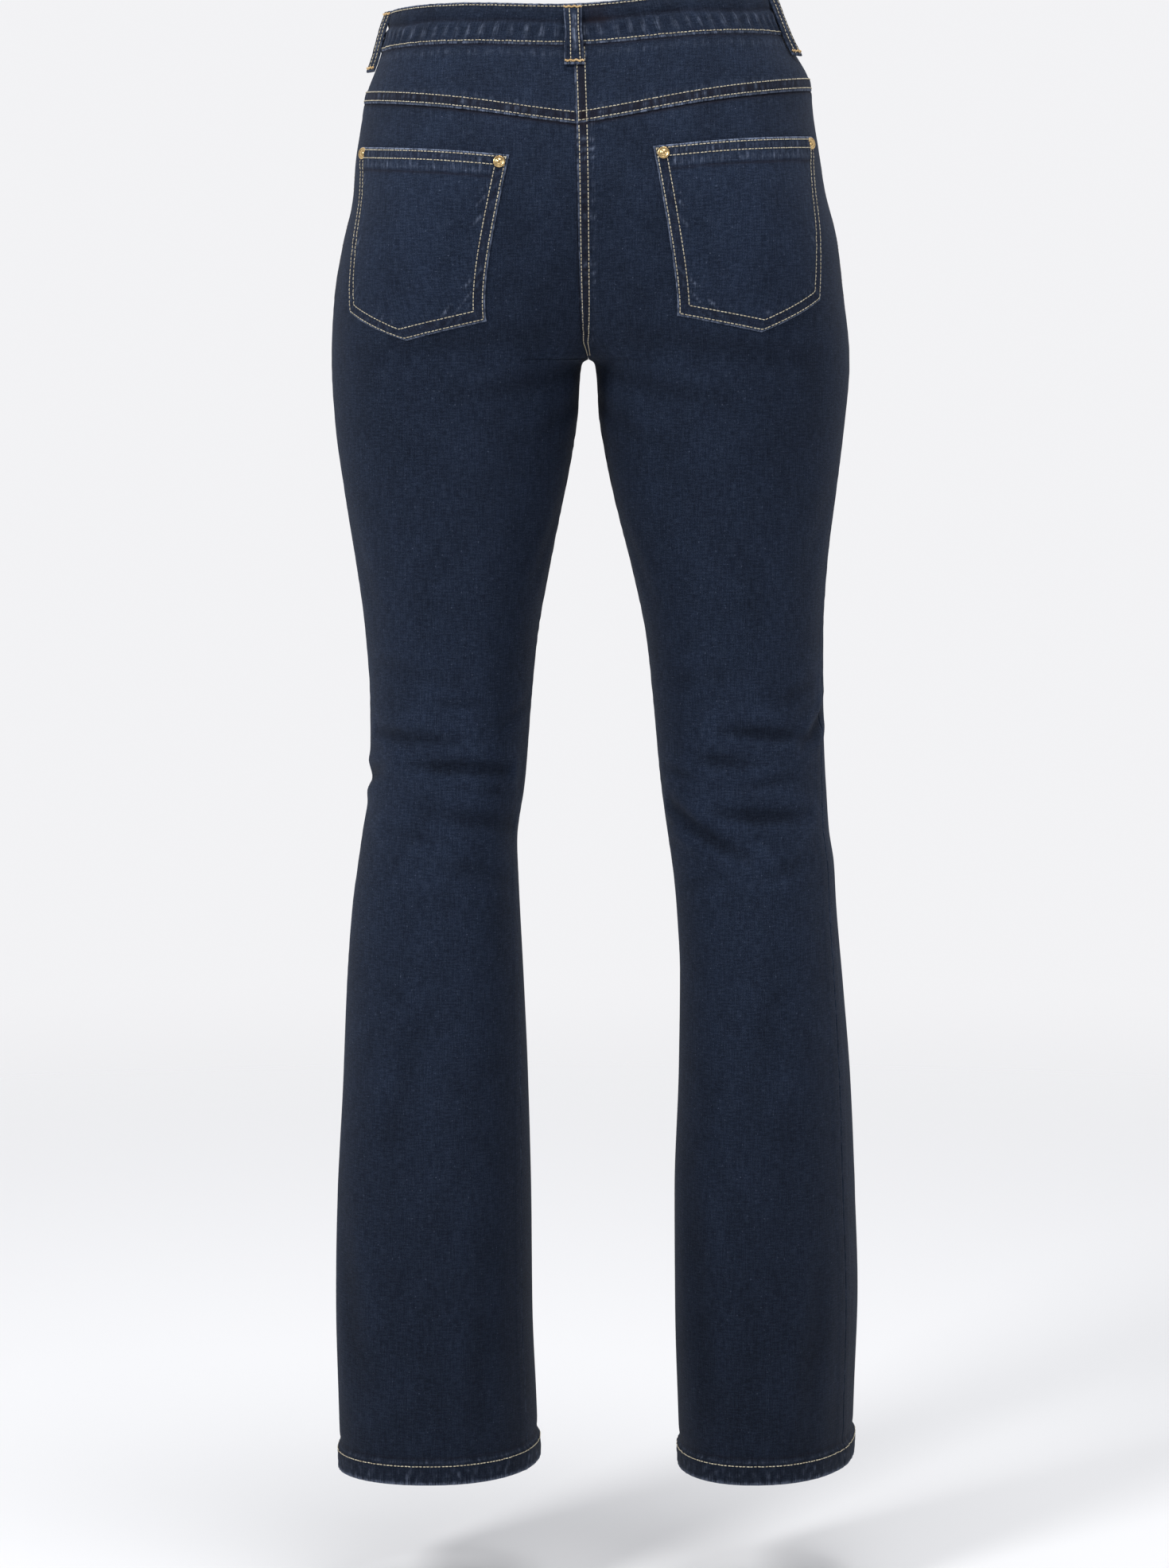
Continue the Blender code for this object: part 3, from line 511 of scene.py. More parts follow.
    def read(self, values, across, height):
        """A grid's values between its rows and columns."""
        across, height = np.broadcast_arrays(np.asarray(across, float), np.asarray(height, float))
        row = np.clip(np.searchsorted(self.heights, height, side="right") - 1, 0, len(self.heights) - 2)
        t = np.clip((height - self.heights[row]) / (self.heights[row + 1] - self.heights[row]), 0, 1)
        place = np.clip(across, 0, 1) * (values.shape[1] - 1)
        col = np.clip(place.astype(int), 0, values.shape[1] - 2)
        s = place - col
        if values.ndim == 3:
            t, s = t[..., None], s[..., None]
        return ((1 - t) * ((1 - s) * values[row, col] + s * values[row, col + 1])
                + t * ((1 - s) * values[row + 1, col] + s * values[row + 1, col + 1]))

    def point(self, face, across, height, out=0.0):
        """Points on the cloth's outer face, or moved out from it."""
        moved = self.normal(face, across, height) * np.asarray(out)[..., None]
        return self.read(self.points[face], across, height) + moved

    def normal(self, face, across, height):
        """The outward direction of the cloth."""
        return unit(self.read(self.normals[face], across, height))

    def width(self, face, height):
        """Length of cloth across one face at a height."""
        return np.interp(height, self.heights, self.across[face][:, -1])


def skin_heights():
    """Rows of the skin, closer together where the legs part."""
    return np.unique(np.round(np.concatenate([
        np.arange(0, 796, 2.0), np.arange(796, 816, 0.4), np.arange(816, 1062, 2.0),
        [FORK_HEIGHT, BAND_TOP]]), 2))


def wave(run, pitch, seed):
    """An uneven ripple between -1 and 1 along a seam."""
    slow = np.sin(2 * math.pi * run / (pitch * 3.7) + seed)
    size = 0.62 + 0.38 * np.sin(2 * math.pi * run / (pitch * 5.3) + 2.1 * seed)
    return size * np.sin(2 * math.pi * run / pitch + 1.5 * slow + seed)


def smooth(value, low, high):
    """0 below low, 1 above high, with soft ends."""
    t = np.clip((value - low) / (high - low), 0, 1)
    return t * t * (3 - 2 * t)


def bump(value, centre, width):
    """A soft hill, 1 at its centre."""
    return np.exp(-((value - centre) / width) ** 2)


def band(value, low, high, soft=1.0):
    """1 between two places and 0 outside them, with soft ends."""
    return smooth(value, low, low + soft) * (1 - smooth(value, high, high + soft))


def uneven(run, pitch, seed, depth=0.5):
    """A share that ripples along a seam, near 1 at its highest."""
    return 1 - depth + depth * wave(run, pitch, seed)


def rolled(edge, depth, soft, power=1.0):
    """How far a rounded edge falls off toward its rim."""
    return depth * (1 - smooth(edge, 0, soft)) ** power


def plain_seam(away, height, seed):
    """The ridge of a plain seam's allowance under the cloth, with its slow ripple."""
    ridge = 0.38 * smooth(away, 0.0, 1.2) * (1 - smooth(away, 10.0, 13.5))
    return ridge + 0.20 * wave(height, 13.0, seed + 2) * np.exp(-away / 10.0)


def plain_seam_wear(away, height, seed):
    """How a plain seam is rubbed, on its fold and over the edge of its allowance."""
    on_edge = 0.10 * bump(away, 11.5, 1.8) * uneven(height, 17.0, seed + 2)
    return 0.22 * bump(away, 0.8, 1.3) * uneven(height, 11.0, seed, 0.4) + on_edge


def share_at(skin, face, run, heights):
    """The share across a face at which the cloth has run a given distance from its start."""
    run, heights = np.broadcast_arrays(np.asarray(run, float), np.asarray(heights, float))
    width = skin.width(face, heights)
    share = np.clip(run / width, 0, 1)
    for _ in range(8):
        here = skin.read(skin.across[face], share, heights)
        after, before = np.clip(share + 0.004, 0, 1), np.clip(share - 0.004, 0, 1)
        rise = skin.read(skin.across[face], after, heights) - skin.read(skin.across[face], before, heights)
        slope = np.maximum(rise / (after - before), 8.0)
        share = np.clip(share + 0.9 * (run - here) / slope, 0, 1)
    return share


def columns(count, start=(), end=()):
    """Places across a panel as (distance, share of the width): close together at its two edges."""
    first, last = (start[-1] if start else 0.0), (end[-1] if end else 0.0)
    places = [(d, 0.0) for d in start[:-1]]
    places += [(first * (1 - t) - last * t, t) for t in np.linspace(0, 1, count)]
    places += [(-d, 1.0) for d in reversed(end[:-1])]
    return np.array(places)


def quads(rows, cols):
    """The faces of a grid of points."""
    r, c = np.meshgrid(np.arange(rows - 1), np.arange(cols - 1), indexing="ij")
    a = r * cols + c
    return np.stack([a, a + 1, a + cols + 1, a + cols], -1).reshape(-1, 4)


def mesh_object(name, points, faces, looks, face_looks=None, places=None, marks=None, sharp=38):
    """An object from points in millimetres, with cloth coordinates and marks of wear and painted shade."""
    mesh = bpy.data.meshes.new(name)
    points = np.asarray(points, float) - np.array([0, 0, HELD_HEIGHT])
    mesh.from_pydata((points * MM).tolist(), [], faces)
    mesh.polygons.foreach_set("use_smooth", np.ones(len(mesh.polygons), bool))
    for look in looks:
        mesh.materials.append(look)
    if face_looks is not None:
        mesh.polygons.foreach_set("material_index", np.asarray(face_looks, np.int32))
    loops = np.empty(len(mesh.loops), np.int32)
    mesh.loops.foreach_get("vertex_index", loops)
    if places is not None:
        layer = mesh.uv_layers.new(name="cloth")
        layer.data.foreach_set("uv", (np.asarray(places, float)[loops] * MM).astype(np.float32).ravel())
    for key, values in (marks or {}).items():
        mark = mesh.attributes.new(key, "FLOAT", "POINT")
        mark.data.foreach_set("value", np.asarray(values, np.float32).ravel())
    mesh.update()
    if sharp:
        mesh.set_sharp_from_angle(angle=math.radians(sharp))
    piece = bpy.data.objects.new(name, mesh)
    bpy.context.collection.objects.link(piece)
    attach(piece, "root")
    return piece


def plain_marks(shape, tone=1.0):
    """Marks of cloth that is neither rubbed nor darkened."""
    return {"tone": np.full(shape, tone), "seam_dark_and_shadow": np.zeros(shape), "wear": np.zeros(shape)}


def shell(name, outer, inner, run, height, marks, looks):
    """A thin closed piece of cloth from its outer and inner grids of points."""
    rows, cols = outer.shape[:2]
    count = rows * cols
    top = quads(rows, cols)
    grid = np.arange(count).reshape(rows, cols)
    ring = np.concatenate([grid[0], grid[1:, -1], grid[-1, -2::-1], grid[-2:0:-1, 0]])
    after = np.roll(ring, -1)
    rim = np.stack([ring, ring + count, after + count, after], -1)
    faces = np.concatenate([top, top[:, ::-1] + count, rim])
    r, c = rows // 2, cols // 2
    facing = np.cross(outer[r, c + 1] - outer[r, c], outer[r + 1, c] - outer[r, c])
    if np.dot(facing, outer[r, c] - inner[r, c]) < 0:
        faces = faces[:, ::-1]
    points = np.concatenate([outer.reshape(-1, 3), inner.reshape(-1, 3)])
    places = np.stack([run, height], -1).reshape(-1, 2)
    inside = plain_marks(count)
    both = {key: np.concatenate([np.ravel(marks[key]), inside[key]]) for key in marks}
    face_looks = np.concatenate([np.zeros(len(top)), np.ones(len(top)), np.zeros(len(rim))])
    places = np.concatenate([places, places])
    return mesh_object(name, points, faces.tolist(), looks, face_looks, places, both)


def read_along(run, values, place):
    """Points or directions at places along a line."""
    return np.stack([np.interp(place, run, values[:, k]) for k in range(3)], -1)


THREAD_SIDES = 6
# Each ring's share of a stitch's length and of its thickness.
THREAD_RINGS = ((-0.46, 0.62), (-0.22, 1.0), (0.22, 1.0), (0.46, 0.62))


class Thread:
    """Stitches gathered into one piece: short rounded lengths that sink at both ends."""

    def __init__(self, name, look, radius=THREAD_RADIUS):
        self.name, self.look, self.radius = name, look, radius
        self.points, self.faces, self.count = [], [], 0
        turns = np.arange(THREAD_SIDES) * 2 * math.pi / THREAD_SIDES
        ends = np.array([[-0.5, 0.0, 0.0]]), np.array([[0.5, 0.0, 0.0]])
        rings = [np.stack([np.full(THREAD_SIDES, place), size * np.cos(turns), size * np.sin(turns)], -1)
                 for place, size in THREAD_RINGS]
        self.along, self.round_x, self.round_y = np.concatenate([ends[0], *rings, ends[1]]).T
        last = len(self.along) - 1
        faces = []
        for k in range(THREAD_SIDES):
            n = (k + 1) % THREAD_SIDES
            faces.append((0, 1 + n, 1 + k))
            for a in range(1, last - THREAD_SIDES, THREAD_SIDES):
                b = a + THREAD_SIDES
                faces += [(a + k, a + n, b + n), (a + k, b + n, b + k)]
            faces.append((last - THREAD_SIDES + k, last - THREAD_SIDES + n, last))
        self.template = np.array(faces)

    def lay(self, centres, ways, normals, lengths):
        """Stitches at the given middles, each along its way and lying on its normal."""
        ways = unit(ways)
        side = unit(np.cross(ways, normals))
        up = np.cross(side, ways)
        lengths = np.broadcast_to(lengths, centres.shape[:1])
        arch = 0.30 * (1 - (2 * self.along) ** 2) - 0.12
        points = (centres[:, None, :] + ways[:, None, :] * (self.along[None, :] * lengths[:, None])[..., None]
                  + side[:, None, :] * (self.round_x * self.radius * 1.05)[None, :, None]
                  + up[:, None, :] * (self.round_y * self.radius * 0.82 + arch)[None, :, None])
        size = len(self.along)
        shift = self.count + size * np.arange(len(centres))
        self.points.append(points.reshape(-1, 3))
        self.faces.append((self.template[None, :, :] + shift[:, None, None]).reshape(-1, 3))
        self.count += size * len(centres)

    def row(self, line, normals, lift_by=0.22):
        """A row of stitches along a line of points."""
        step = np.linalg.norm(np.diff(line, axis=0), axis=1)
        run = np.concatenate([[0], np.cumsum(step)])
        number = max(1, int(round(run[-1] / STITCH_PITCH)))
        own = run[-1] / number
        middle = (np.arange(number) + 0.5) * own
        middle = middle + 0.16 * np.sin(np.arange(number) * 2.399)
        start = read_along(run, line, middle - STITCH_LENGTH / 2)
        end = read_along(run, line, middle + STITCH_LENGTH / 2)
        normal = unit(read_along(run, normals, middle))
        centre = (start + end) / 2 + normal * lift_by
        lengths = STITCH_LENGTH * (1 + 0.06 * np.sin(np.arange(number) * 1.7))
        self.lay(centre, end - start, normal, lengths)

    def finish(self):
        """Make one piece of all the stitches laid."""
        points, faces = np.concatenate(self.points), np.concatenate(self.faces).tolist()
        mesh_object(self.name, points, faces, [self.look], sharp=0)


def grain_run(skin, face, run, height):
    """Distance across from the upright thread line that runs down the middle of the leg."""
    order = slice(None) if face == "back" else slice(None, None, -1)
    x = skin.side * skin.points[face][:, order, 0]
    across = skin.across[face][:, order]
    place = [np.interp(GRAIN_LINE, *pair) for pair in zip(x, across)]
    return run - np.interp(height, skin.heights, place)


class Cloth:
    """One panel: where it lies, how far its seams and ripples raise it, its wear and its painted shade."""

    def __init__(self, skin, face, raise_by, mark):
        self.skin, self.face, self.raise_by, self.mark = skin, face, raise_by, mark

    def at(self, run, height, out=0.0):
        """Points and normals at places given by distance across and height."""
        share = share_at(self.skin, self.face, run, height)
        width = self.skin.width(self.face, height)
        up = self.raise_by(np.asarray(run, float), width, np.asarray(height, float))
        normal = self.skin.normal(self.face, share, height)
        return self.skin.point(self.face, share, height) + normal * (up + out)[..., None], normal

    def row(self, thread, run, height):
        """A row of stitches on the panel."""
        thread.row(*self.at(run, height))

    def build(self, name, run, height, under, looks):
        """The panel's piece from its grid of places, with its inner ply at a depth under the skin."""
        share = share_at(self.skin, self.face, run, height)
        run = self.skin.read(self.skin.across[self.face], share, height)
        width = self.skin.width(self.face, height)
        base = self.skin.point(self.face, share, height)
        normal = self.skin.normal(self.face, share, height)
        up = self.raise_by(run, width, height)
        outer = base + normal * up[..., None]
        inner = lap_edges(base - normal * np.asarray(under)[..., None])
        relief = self.skin.relief(self.face, share, height)
        marks = plain_marks(run.shape)
        # Painted shade in the folds' troughs, and a little painted light on their ridges
        # that also stands for the real fading of ridges.
        marks["tone"] += 0.34 * np.clip(relief / 2.0, -1, 0.30)
        self.mark(marks, run, width, height)
        grain = grain_run(self.skin, self.face, run, height)
        return shell(name, outer, inner, grain, height, marks, looks)


def lap_edges(inner):
    """Carry the inner ply's side edges a little past the seam, under the next panel."""
    for edge, beside in ((0, 1), (-1, -2)):
        way = inner[:, edge] - inner[:, beside]
        inner[:, edge] += PLY_LAP * unit(way)
    return inner


def tone_at(side, run, height):
    """How bright the cloth is by height, lowest at the hem and lower right leg, in soft uneven clouds."""
    tone = np.interp(height, (0, 120, 300, 420, 520, 640, 800, 900, 1060),
                     (0.64, 0.70, 0.87, 0.97, 1.03, 0.97, 0.96, 1.02, 1.14))
    if side < 0:
        tone = tone * np.interp(height, (0, 200, 420, 1060), (0.86, 0.93, 0.96, 0.98))
    cloud = wave(run + 0.6 * height, 71.0, 3.3 + side) * wave(height - 0.4 * run, 93.0, 1.2)
    return tone * (1 + 0.07 * cloud)


def yoke_line(across):
    """Height of the yoke seam, lowest at the centre back."""
    return YOKE_CENTRE + YOKE_RISE * (1 - (1 - np.clip(across, 0, 1)) ** 1.5)


def hem_raise(run, height, seed):
    """The turned-up hem: a thicker band whose edge rolls and ropes."""
    inside = 1 - smooth(height, HEM_DEPTH - 0.5, HEM_DEPTH + 0.6)
    rope = wave(run + height * 0.5, HEM_ROPE, seed)
    spread = bump(height, HEM_DEPTH - 4, 9.0) + 0.5 * bump(height, 3, 5.0)
    groove = -0.30 * bump(height, HEM_ROW, 0.9)
    flare = 1.3 * (1 - smooth(height, HEM_DEPTH - 2.0, HEM_DEPTH + 3.0))
    pinch = -0.60 * bump(height, HEM_DEPTH + 5.0, 3.0)
    return 0.5 * inside + 0.5 * rope * spread + groove + flare + pinch


def below_fork(height):
    """1 on the legs and 0 above the fork."""
    return 1 - smooth(height, FORK_HEIGHT - 10, FORK_HEIGHT - 2)


def back_raise(side):
    """The back panel's relief: its inseam, felled centre seam, outseam and the cloth under the yoke."""
    seed = BACK_SEEDS[side]

    def raise_by(run, width, height):
        total = hem_raise(run, height, seed)
        far = width - run
        low = below_fork(height)
        above = smooth(height, FORK_HEIGHT + 6, FORK_HEIGHT + 14)
        fell = 1 - smooth(run, CENTRE_WIDTH - 0.5, CENTRE_WIDTH + 0.5)
        total = total + 0.30 * low * smooth(run, 0.0, 1.2) * (1 - smooth(run, 9.0, 12.5))
        total = total + 0.20 * low * wave(height, 12.0, seed + 1) * np.exp(-run / 11.0)
        if side < 0:
            total = total + above * fell * FELL_RAISE
            for row in CENTRE_ROWS:
                total = total - above * 0.24 * bump(run, row, 0.7)
            total = total + 0.40 * above * wave(height, 8.0, 5.1) * bump(run, 5, 7.0)
        else:
            total = total + 0.26 * above * wave(height, 9.0, 5.1) * np.exp(-run / 8.0)
        total = total + plain_seam(far, height, seed)
        edge = yoke_line(run / width)
        below = edge - height
        total = total + 0.34 * wave(run, 8.2, seed + 3) * bump(below, 2, 7.0)
        near = np.minimum(np.minimum(run, far), np.maximum(below, 0) + np.where(height < POCKETS_END, 9, 0))
        return total - rolled(near, 0.45, 1.0)

    return raise_by


def back_mark(side):
    """The back panel's wear on its relief's seams, and painted shadows under the yoke and by the centre fold.
    """
    seed = BACK_SEEDS[side]

    def mark(marks, run, width, height):
        far = width - run
        marks["tone"] *= tone_at(side, run, height)
        hem_marks(marks, run, height, seed)
        low = below_fork(height)
        marks["wear"] += 0.20 * low * bump(run, 0.6, 1.2)
        marks["wear"] += plain_seam_wear(far, height, seed)
        above = smooth(height, FORK_HEIGHT + 4, FORK_HEIGHT + 12)
        if side < 0:
            ladder = uneven(height, 8.0, 5.1)
            marks["wear"] += above * 0.66 * bump(run, 0.4, 0.9) * uneven(height, 7.0, 4.0, 0.4)
            between = band(run, 1.7, 6.6)
            marks["seam_dark_and_shadow"] += above * 0.80 * between * (1 - 0.5 * ladder)
            marks["wear"] += above * 0.40 * ladder ** 3 * bump(run, 4.8, 2.2)
            marks["wear"] += above * 0.42 * ladder ** 2 * bump(run, CENTRE_WIDTH + 2.0, 2.2)
        else:
            # Painted shadow beside the right panel's raised centre seam.
            marks["seam_dark_and_shadow"] += above * 0.5 * bump(run, 0.0, 2.2)
        below = yoke_line(run / width) - height
        # Painted shadow just under the yoke's folded lower edge.
        marks["seam_dark_and_shadow"] += 0.85 * bump(below, 0.0, 2.4)
        marks["wear"] += 0.12 * bump(below, 5.5, 3.0) * uneven(run, 8.2, seed + 3)

    return mark


def hem_marks(marks, run, height, seed):
    """The hem's rubbed edge and the pale ladder of its roping, with a painted shadow above its top fold."""
    rope = uneven(run + height * 0.5, HEM_ROPE, seed)
    marks["wear"] += bump(height, 0.0, 1.8) * (0.50 + 0.45 * rope)
    marks["wear"] += 0.40 * rope ** 2 * bump(height, 7.0, 6.5)
    marks["tone"] *= 1 - 0.16 * (1 - rope) * bump(height, 8.0, 7.0)
    marks["wear"] += 0.34 * bump(height, HEM_DEPTH + 0.8, 1.0) * uneven(run, 6.0, seed, 0.4)
    # Painted shadow in the groove just above the hem's top fold.
    marks["seam_dark_and_shadow"] += 0.45 * bump(height, HEM_DEPTH + 3.2, 1.8)


def front_raise(side):
    """The front panel's relief: its outseam, inseam and the turned edge of the pocket mouth."""
    seed = FRONT_SEEDS[side]

    def raise_by(run, width, height):
        total = hem_raise(run, height, seed)
        far = width - run
        total = total + plain_seam(run, height, seed)
        total = total + 0.22 * below_fork(height) * wave(height, 12.0, seed) * np.exp(-far / 11.0)
        beyond = mouth_gap(run, height)
        total = total - 0.22 * sum(bump(beyond, row, 0.8) for row in MOUTH_ROWS)
        total = total + 0.25 * wave(run + height, 8.5, seed) * bump(beyond, 5.0, 8.0)
        total = total - rolled(np.minimum(run, far), 0.45, 1.0)
        return total - rolled(np.maximum(beyond, 0), 0.5, 1.1)

    return raise_by


def front_mark(side):
    """The front panel's wear, on the same seams as its relief."""
    seed = FRONT_SEEDS[side]

    def mark(marks, run, width, height):
        marks["tone"] *= tone_at(side, run, height)
        hem_marks(marks, run, height, seed)
        far = width - run
        beyond = mouth_gap(run, height)
        marks["wear"] += plain_seam_wear(run, height, seed)
        marks["wear"] += 0.65 * bump(beyond, 0.2, 1.0) * uneven(run + height, 7.0, seed, 0.3)
        marks["seam_dark_and_shadow"] += 0.5 * band(beyond, 2.2, 6.6)
        marks["wear"] += 0.25 * below_fork(height) * bump(far, 0.5, 1.2)
        if side > 0:
            above = smooth(height, 884, 890)
            marks["wear"] += 0.55 * above * bump(far, 0.3, 1.1)

    return mark


def mouth_share(skin, heights):
    """Where the scooped pocket mouth cuts the front, as a share across from the outseam."""
    down = np.clip((BAND_BOTTOM - SEAM_GAP - heights) / MOUTH_DEPTH, 0, 1)
    return MOUTH_WIDTH * np.sqrt(1 - down ** 2) / skin.width("front", heights)


def mouth_gap(run, height):
    """About how far a place on the front lies from the mouth's edge. It is large below the mouth."""
    down = (BAND_BOTTOM - SEAM_GAP - height) / MOUTH_DEPTH
    size = np.hypot(run / MOUTH_WIDTH, np.maximum(down, 0))
    slope = np.hypot(run / MOUTH_WIDTH ** 2, np.maximum(down, 0) / MOUTH_DEPTH) / np.maximum(size, 1e-6)
    return np.where(height > POCKETS_END, (size - 1) / np.maximum(slope, 1e-6), 60.0)


def panel_levels(top):
    """Heights of a panel's rows: close at the hem, the knee, the fork and the upper edge."""
    return np.unique(np.concatenate([
        [0, 0.4, 1.0, 1.8], np.arange(3, 12, 1.3),
        [12.4, 13.2, 13.7, 14.3, 15.0, 15.6, 16.2, 17.2, 19, 21.5], np.arange(24, 60, 3.0),
        np.arange(60, 410, 4.6), np.arange(410, 612, 2.4), np.arange(612, 796, 4.0), np.arange(796, 816, 1.1),
        [FORK_HEIGHT], np.arange(816, top - 12, 3.0), np.arange(top - 12, top, 1.2), [top]]))


# Distances of a panel's columns from a stitched edge and from a plain seam.
EDGE_PLACES = (0.0, 0.35, 0.75, 1.2, 1.7, 2.3, 3.8, 5.5, 6.7, 7.3, 7.9, 8.5, 9.2, 11.0, 14.0)
SEAM_PLACES = (0.0, 0.35, 0.8, 1.4, 3.0, 6.0, 9.5, 11.5, 13.5)


def build_back(skin, looks):
    """A back panel, from the yoke seam down to the hem."""
    side, name = skin.side, SIDE_NAMES[skin.side]
    cloth = Cloth(skin, "back", back_raise(side), back_mark(side))
    levels = panel_levels(YOKE_CENTRE)[::-1][:, None]
    follow = np.interp(levels, (887.0, 909.0, 930.0, 952.0, YOKE_CENTRE), (0, 0.18, 0.45, 0.75, 1.0))
    places = columns(62, EDGE_PLACES, SEAM_PLACES)
    height = np.broadcast_to(levels, (len(levels), len(places))).copy()
    for _ in range(3):
        width = skin.width("back", height)
        run = places[:, 0][None, :] + places[:, 1][None, :] * width
        height = levels + follow * (yoke_line(run / width) - YOKE_CENTRE)
    height = np.clip(height, 0, None)
    under = CLOTH + 0.45 * (height < HEM_DEPTH)
    piece = cloth.build("denim_back_" + name, run, height, under, looks)
    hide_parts("back_" + name)
    return cloth


def yoke_raise(side):
    """The yoke's relief: its felled lower edge, the centre seam and the cloth gathered by the waistband."""
    seed = YOKE_SEEDS[side]

    def raise_by(run, width, height):
        above = height - yoke_line(run / width) - PLY_GAP
        fell = 1 - smooth(above, FELL_WIDTH - 0.9, FELL_WIDTH + 0.3)
        total = FELL_RAISE * fell
        if side < 0:
            strip = 1 - smooth(run, CENTRE_WIDTH - 0.5, CENTRE_WIDTH + 0.5)
            total = np.maximum(total, FELL_RAISE * strip)
            for row in CENTRE_ROWS:
                total = total - 0.22 * bump(run, row, 0.7)
        for row in FELL_ROWS:
            total = total - 0.24 * bump(above, row, 0.7)
        total = total + 0.40 * wave(run, 7.4, seed) * bump(above, 5, 6.5)
        total = total + 0.30 * wave(run, 7.6, 1.2 + side) * np.exp(-(BAND_BOTTOM - height) / 5.5)
        total = total + 0.22 * wave(height, 9.0, 5.1) * np.exp(-run / 8.0)
        near = np.minimum(np.minimum(run, width - run), above)
        return total - rolled(near, 0.42, 0.9)

    return raise_by


def yoke_mark(side):
    """The yoke's wear on its relief's seams, with a painted shadow under the waistband's edge."""
    seed = YOKE_SEEDS[side]

    def mark(marks, run, width, height):
        above = height - yoke_line(run / width) - PLY_GAP
        marks["tone"] *= tone_at(side, run, height)
        ladder = uneven(run, 7.4, seed)
        marks["wear"] += 0.80 * bump(above, 0.4, 1.0) * uneven(run, 6.0, 2.2, 0.35)
        marks["seam_dark_and_shadow"] += 0.80 * band(above, 2.0, 7.4) * (1 - 0.5 * ladder)
        marks["wear"] += 0.42 * ladder ** 2 * bump(above, 5.2, 2.4)
        marks["wear"] += 0.20 * ladder * bump(above, FELL_WIDTH + 1.8, 1.8)
        # Painted shadow just under the waistband's raised lower edge.
        marks["seam_dark_and_shadow"] += 0.8 * np.exp(-(BAND_BOTTOM - height) / 2.2)
        gathers = uneven(run, 7.6, 1.2 + side)
        marks["wear"] += 0.26 * bump(BAND_BOTTOM - height, 6.0, 3.0) * gathers
        if side < 0:
            marks["wear"] += 0.46 * bump(run, 0.4, 0.8)
            marks["seam_dark_and_shadow"] += 0.7 * band(run, 1.7, 6.6)

    return mark


def build_yoke(skin, looks):
    """A yoke, from its felled edge over the back panel up to the waistband."""
    side, name = skin.side, SIDE_NAMES[skin.side]
    cloth = Cloth(skin, "back", yoke_raise(side), yoke_mark(side))
    places = columns(74, EDGE_PLACES, SEAM_PLACES)
    low = np.array([0, 0.35, 0.8, 1.4, 2.0, 2.6, 3.8, 5.2, 6.6, 7.6, 8.2, 8.8, 9.3, 9.9, 10.8])
    high = np.linspace(0, 1, 22)
    height = np.full((len(low) + len(high), len(places)), YOKE_MIDDLE)
    top = BAND_BOTTOM - PLY_GAP
    for _ in range(4):
        width = skin.width("back", height)
        run = places[:, 0][None, :] + places[:, 1][None, :] * width
        lower = yoke_line(run[0] / width[0]) + PLY_GAP
        start = lower + 11.8
        height = np.concatenate([lower[None, :] + low[:, None],
                                 start[None, :] + (top - start)[None, :] * high[:, None]])[::-1]
    piece = cloth.build("denim_yoke_" + name, run, height, np.full(height.shape, CLOTH), looks)
    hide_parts("yoke_" + name)
    return cloth


def build_front(skin, looks):
    """A front panel, from the waistband and the pocket mouth down to the hem."""
    side, name = skin.side, SIDE_NAMES[skin.side]
    cloth = Cloth(skin, "front", front_raise(side), front_mark(side))
    top = BAND_BOTTOM - PLY_GAP
    levels = np.unique(np.concatenate([
        panel_levels(940.0), np.arange(942, 958, 1.2), [957.75, 958.2, 959.2, 961],
        np.arange(962, top - 2, 2.4), [top]]))[::-1][:, None]
    width = skin.width("front", levels)
    first = mouth_share(skin, levels) * width
    places = columns(60, SEAM_PLACES, EDGE_PLACES)
    run = first + places[:, 0][None, :] + places[:, 1][None, :] * (width - first)
    height = np.broadcast_to(levels, run.shape).copy()
    under = CLOTH + 0.45 * (height < HEM_DEPTH)
    piece = cloth.build("denim_front_" + name, run, height, under, looks)
    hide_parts("front_" + name)
    return cloth


def build_bearer(skin, looks):
    """The facing that shows in a front pocket's mouth, a little under the front panel."""
    name = SIDE_NAMES[skin.side]
    levels = np.linspace(BAND_BOTTOM - PLY_GAP, BEARER_BOTTOM, 40)[:, None]
    width = skin.width("front", levels)
    last = np.maximum(mouth_share(skin, levels) * width, 0.4 * MOUTH_WIDTH) + BEARER_UNDER
    run = last * np.linspace(0, 1, 46)[None, :]
    height = np.broadcast_to(levels, run.shape).copy()
    share = share_at(skin, "front", run, height)
    normal = skin.normal("front", share, height)
    base = skin.point("front", share, height)
    at_top = smooth(height, BAND_BOTTOM - 12, BAND_BOTTOM - 1)
    sag = 0.25 * wave(run + 0.6 * height, 31.0, 1.0) * (1 - at_top) + 0.65 * at_top
    outer = base + normal * (sag - BEARER_SINK + 0.2)[..., None]
    inner = base + normal * (sag - BEARER_SINK - CLOTH)[..., None]
    grain = grain_run(skin, "front", run, height)
    marks = plain_marks(run.shape, 1.05)
    piece = shell("denim_bearer_" + name, outer, inner, grain, height, marks, looks)
    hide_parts("pocket_bearer_" + name)


# The back pockets' rows, side and top, and the depth of their top hem.
POCKET_EDGE = 1.9
POCKET_SECOND = 8.1
POCKET_TOP_ROWS = (2.0, 7.8)
POCKET_HEM = 15.5


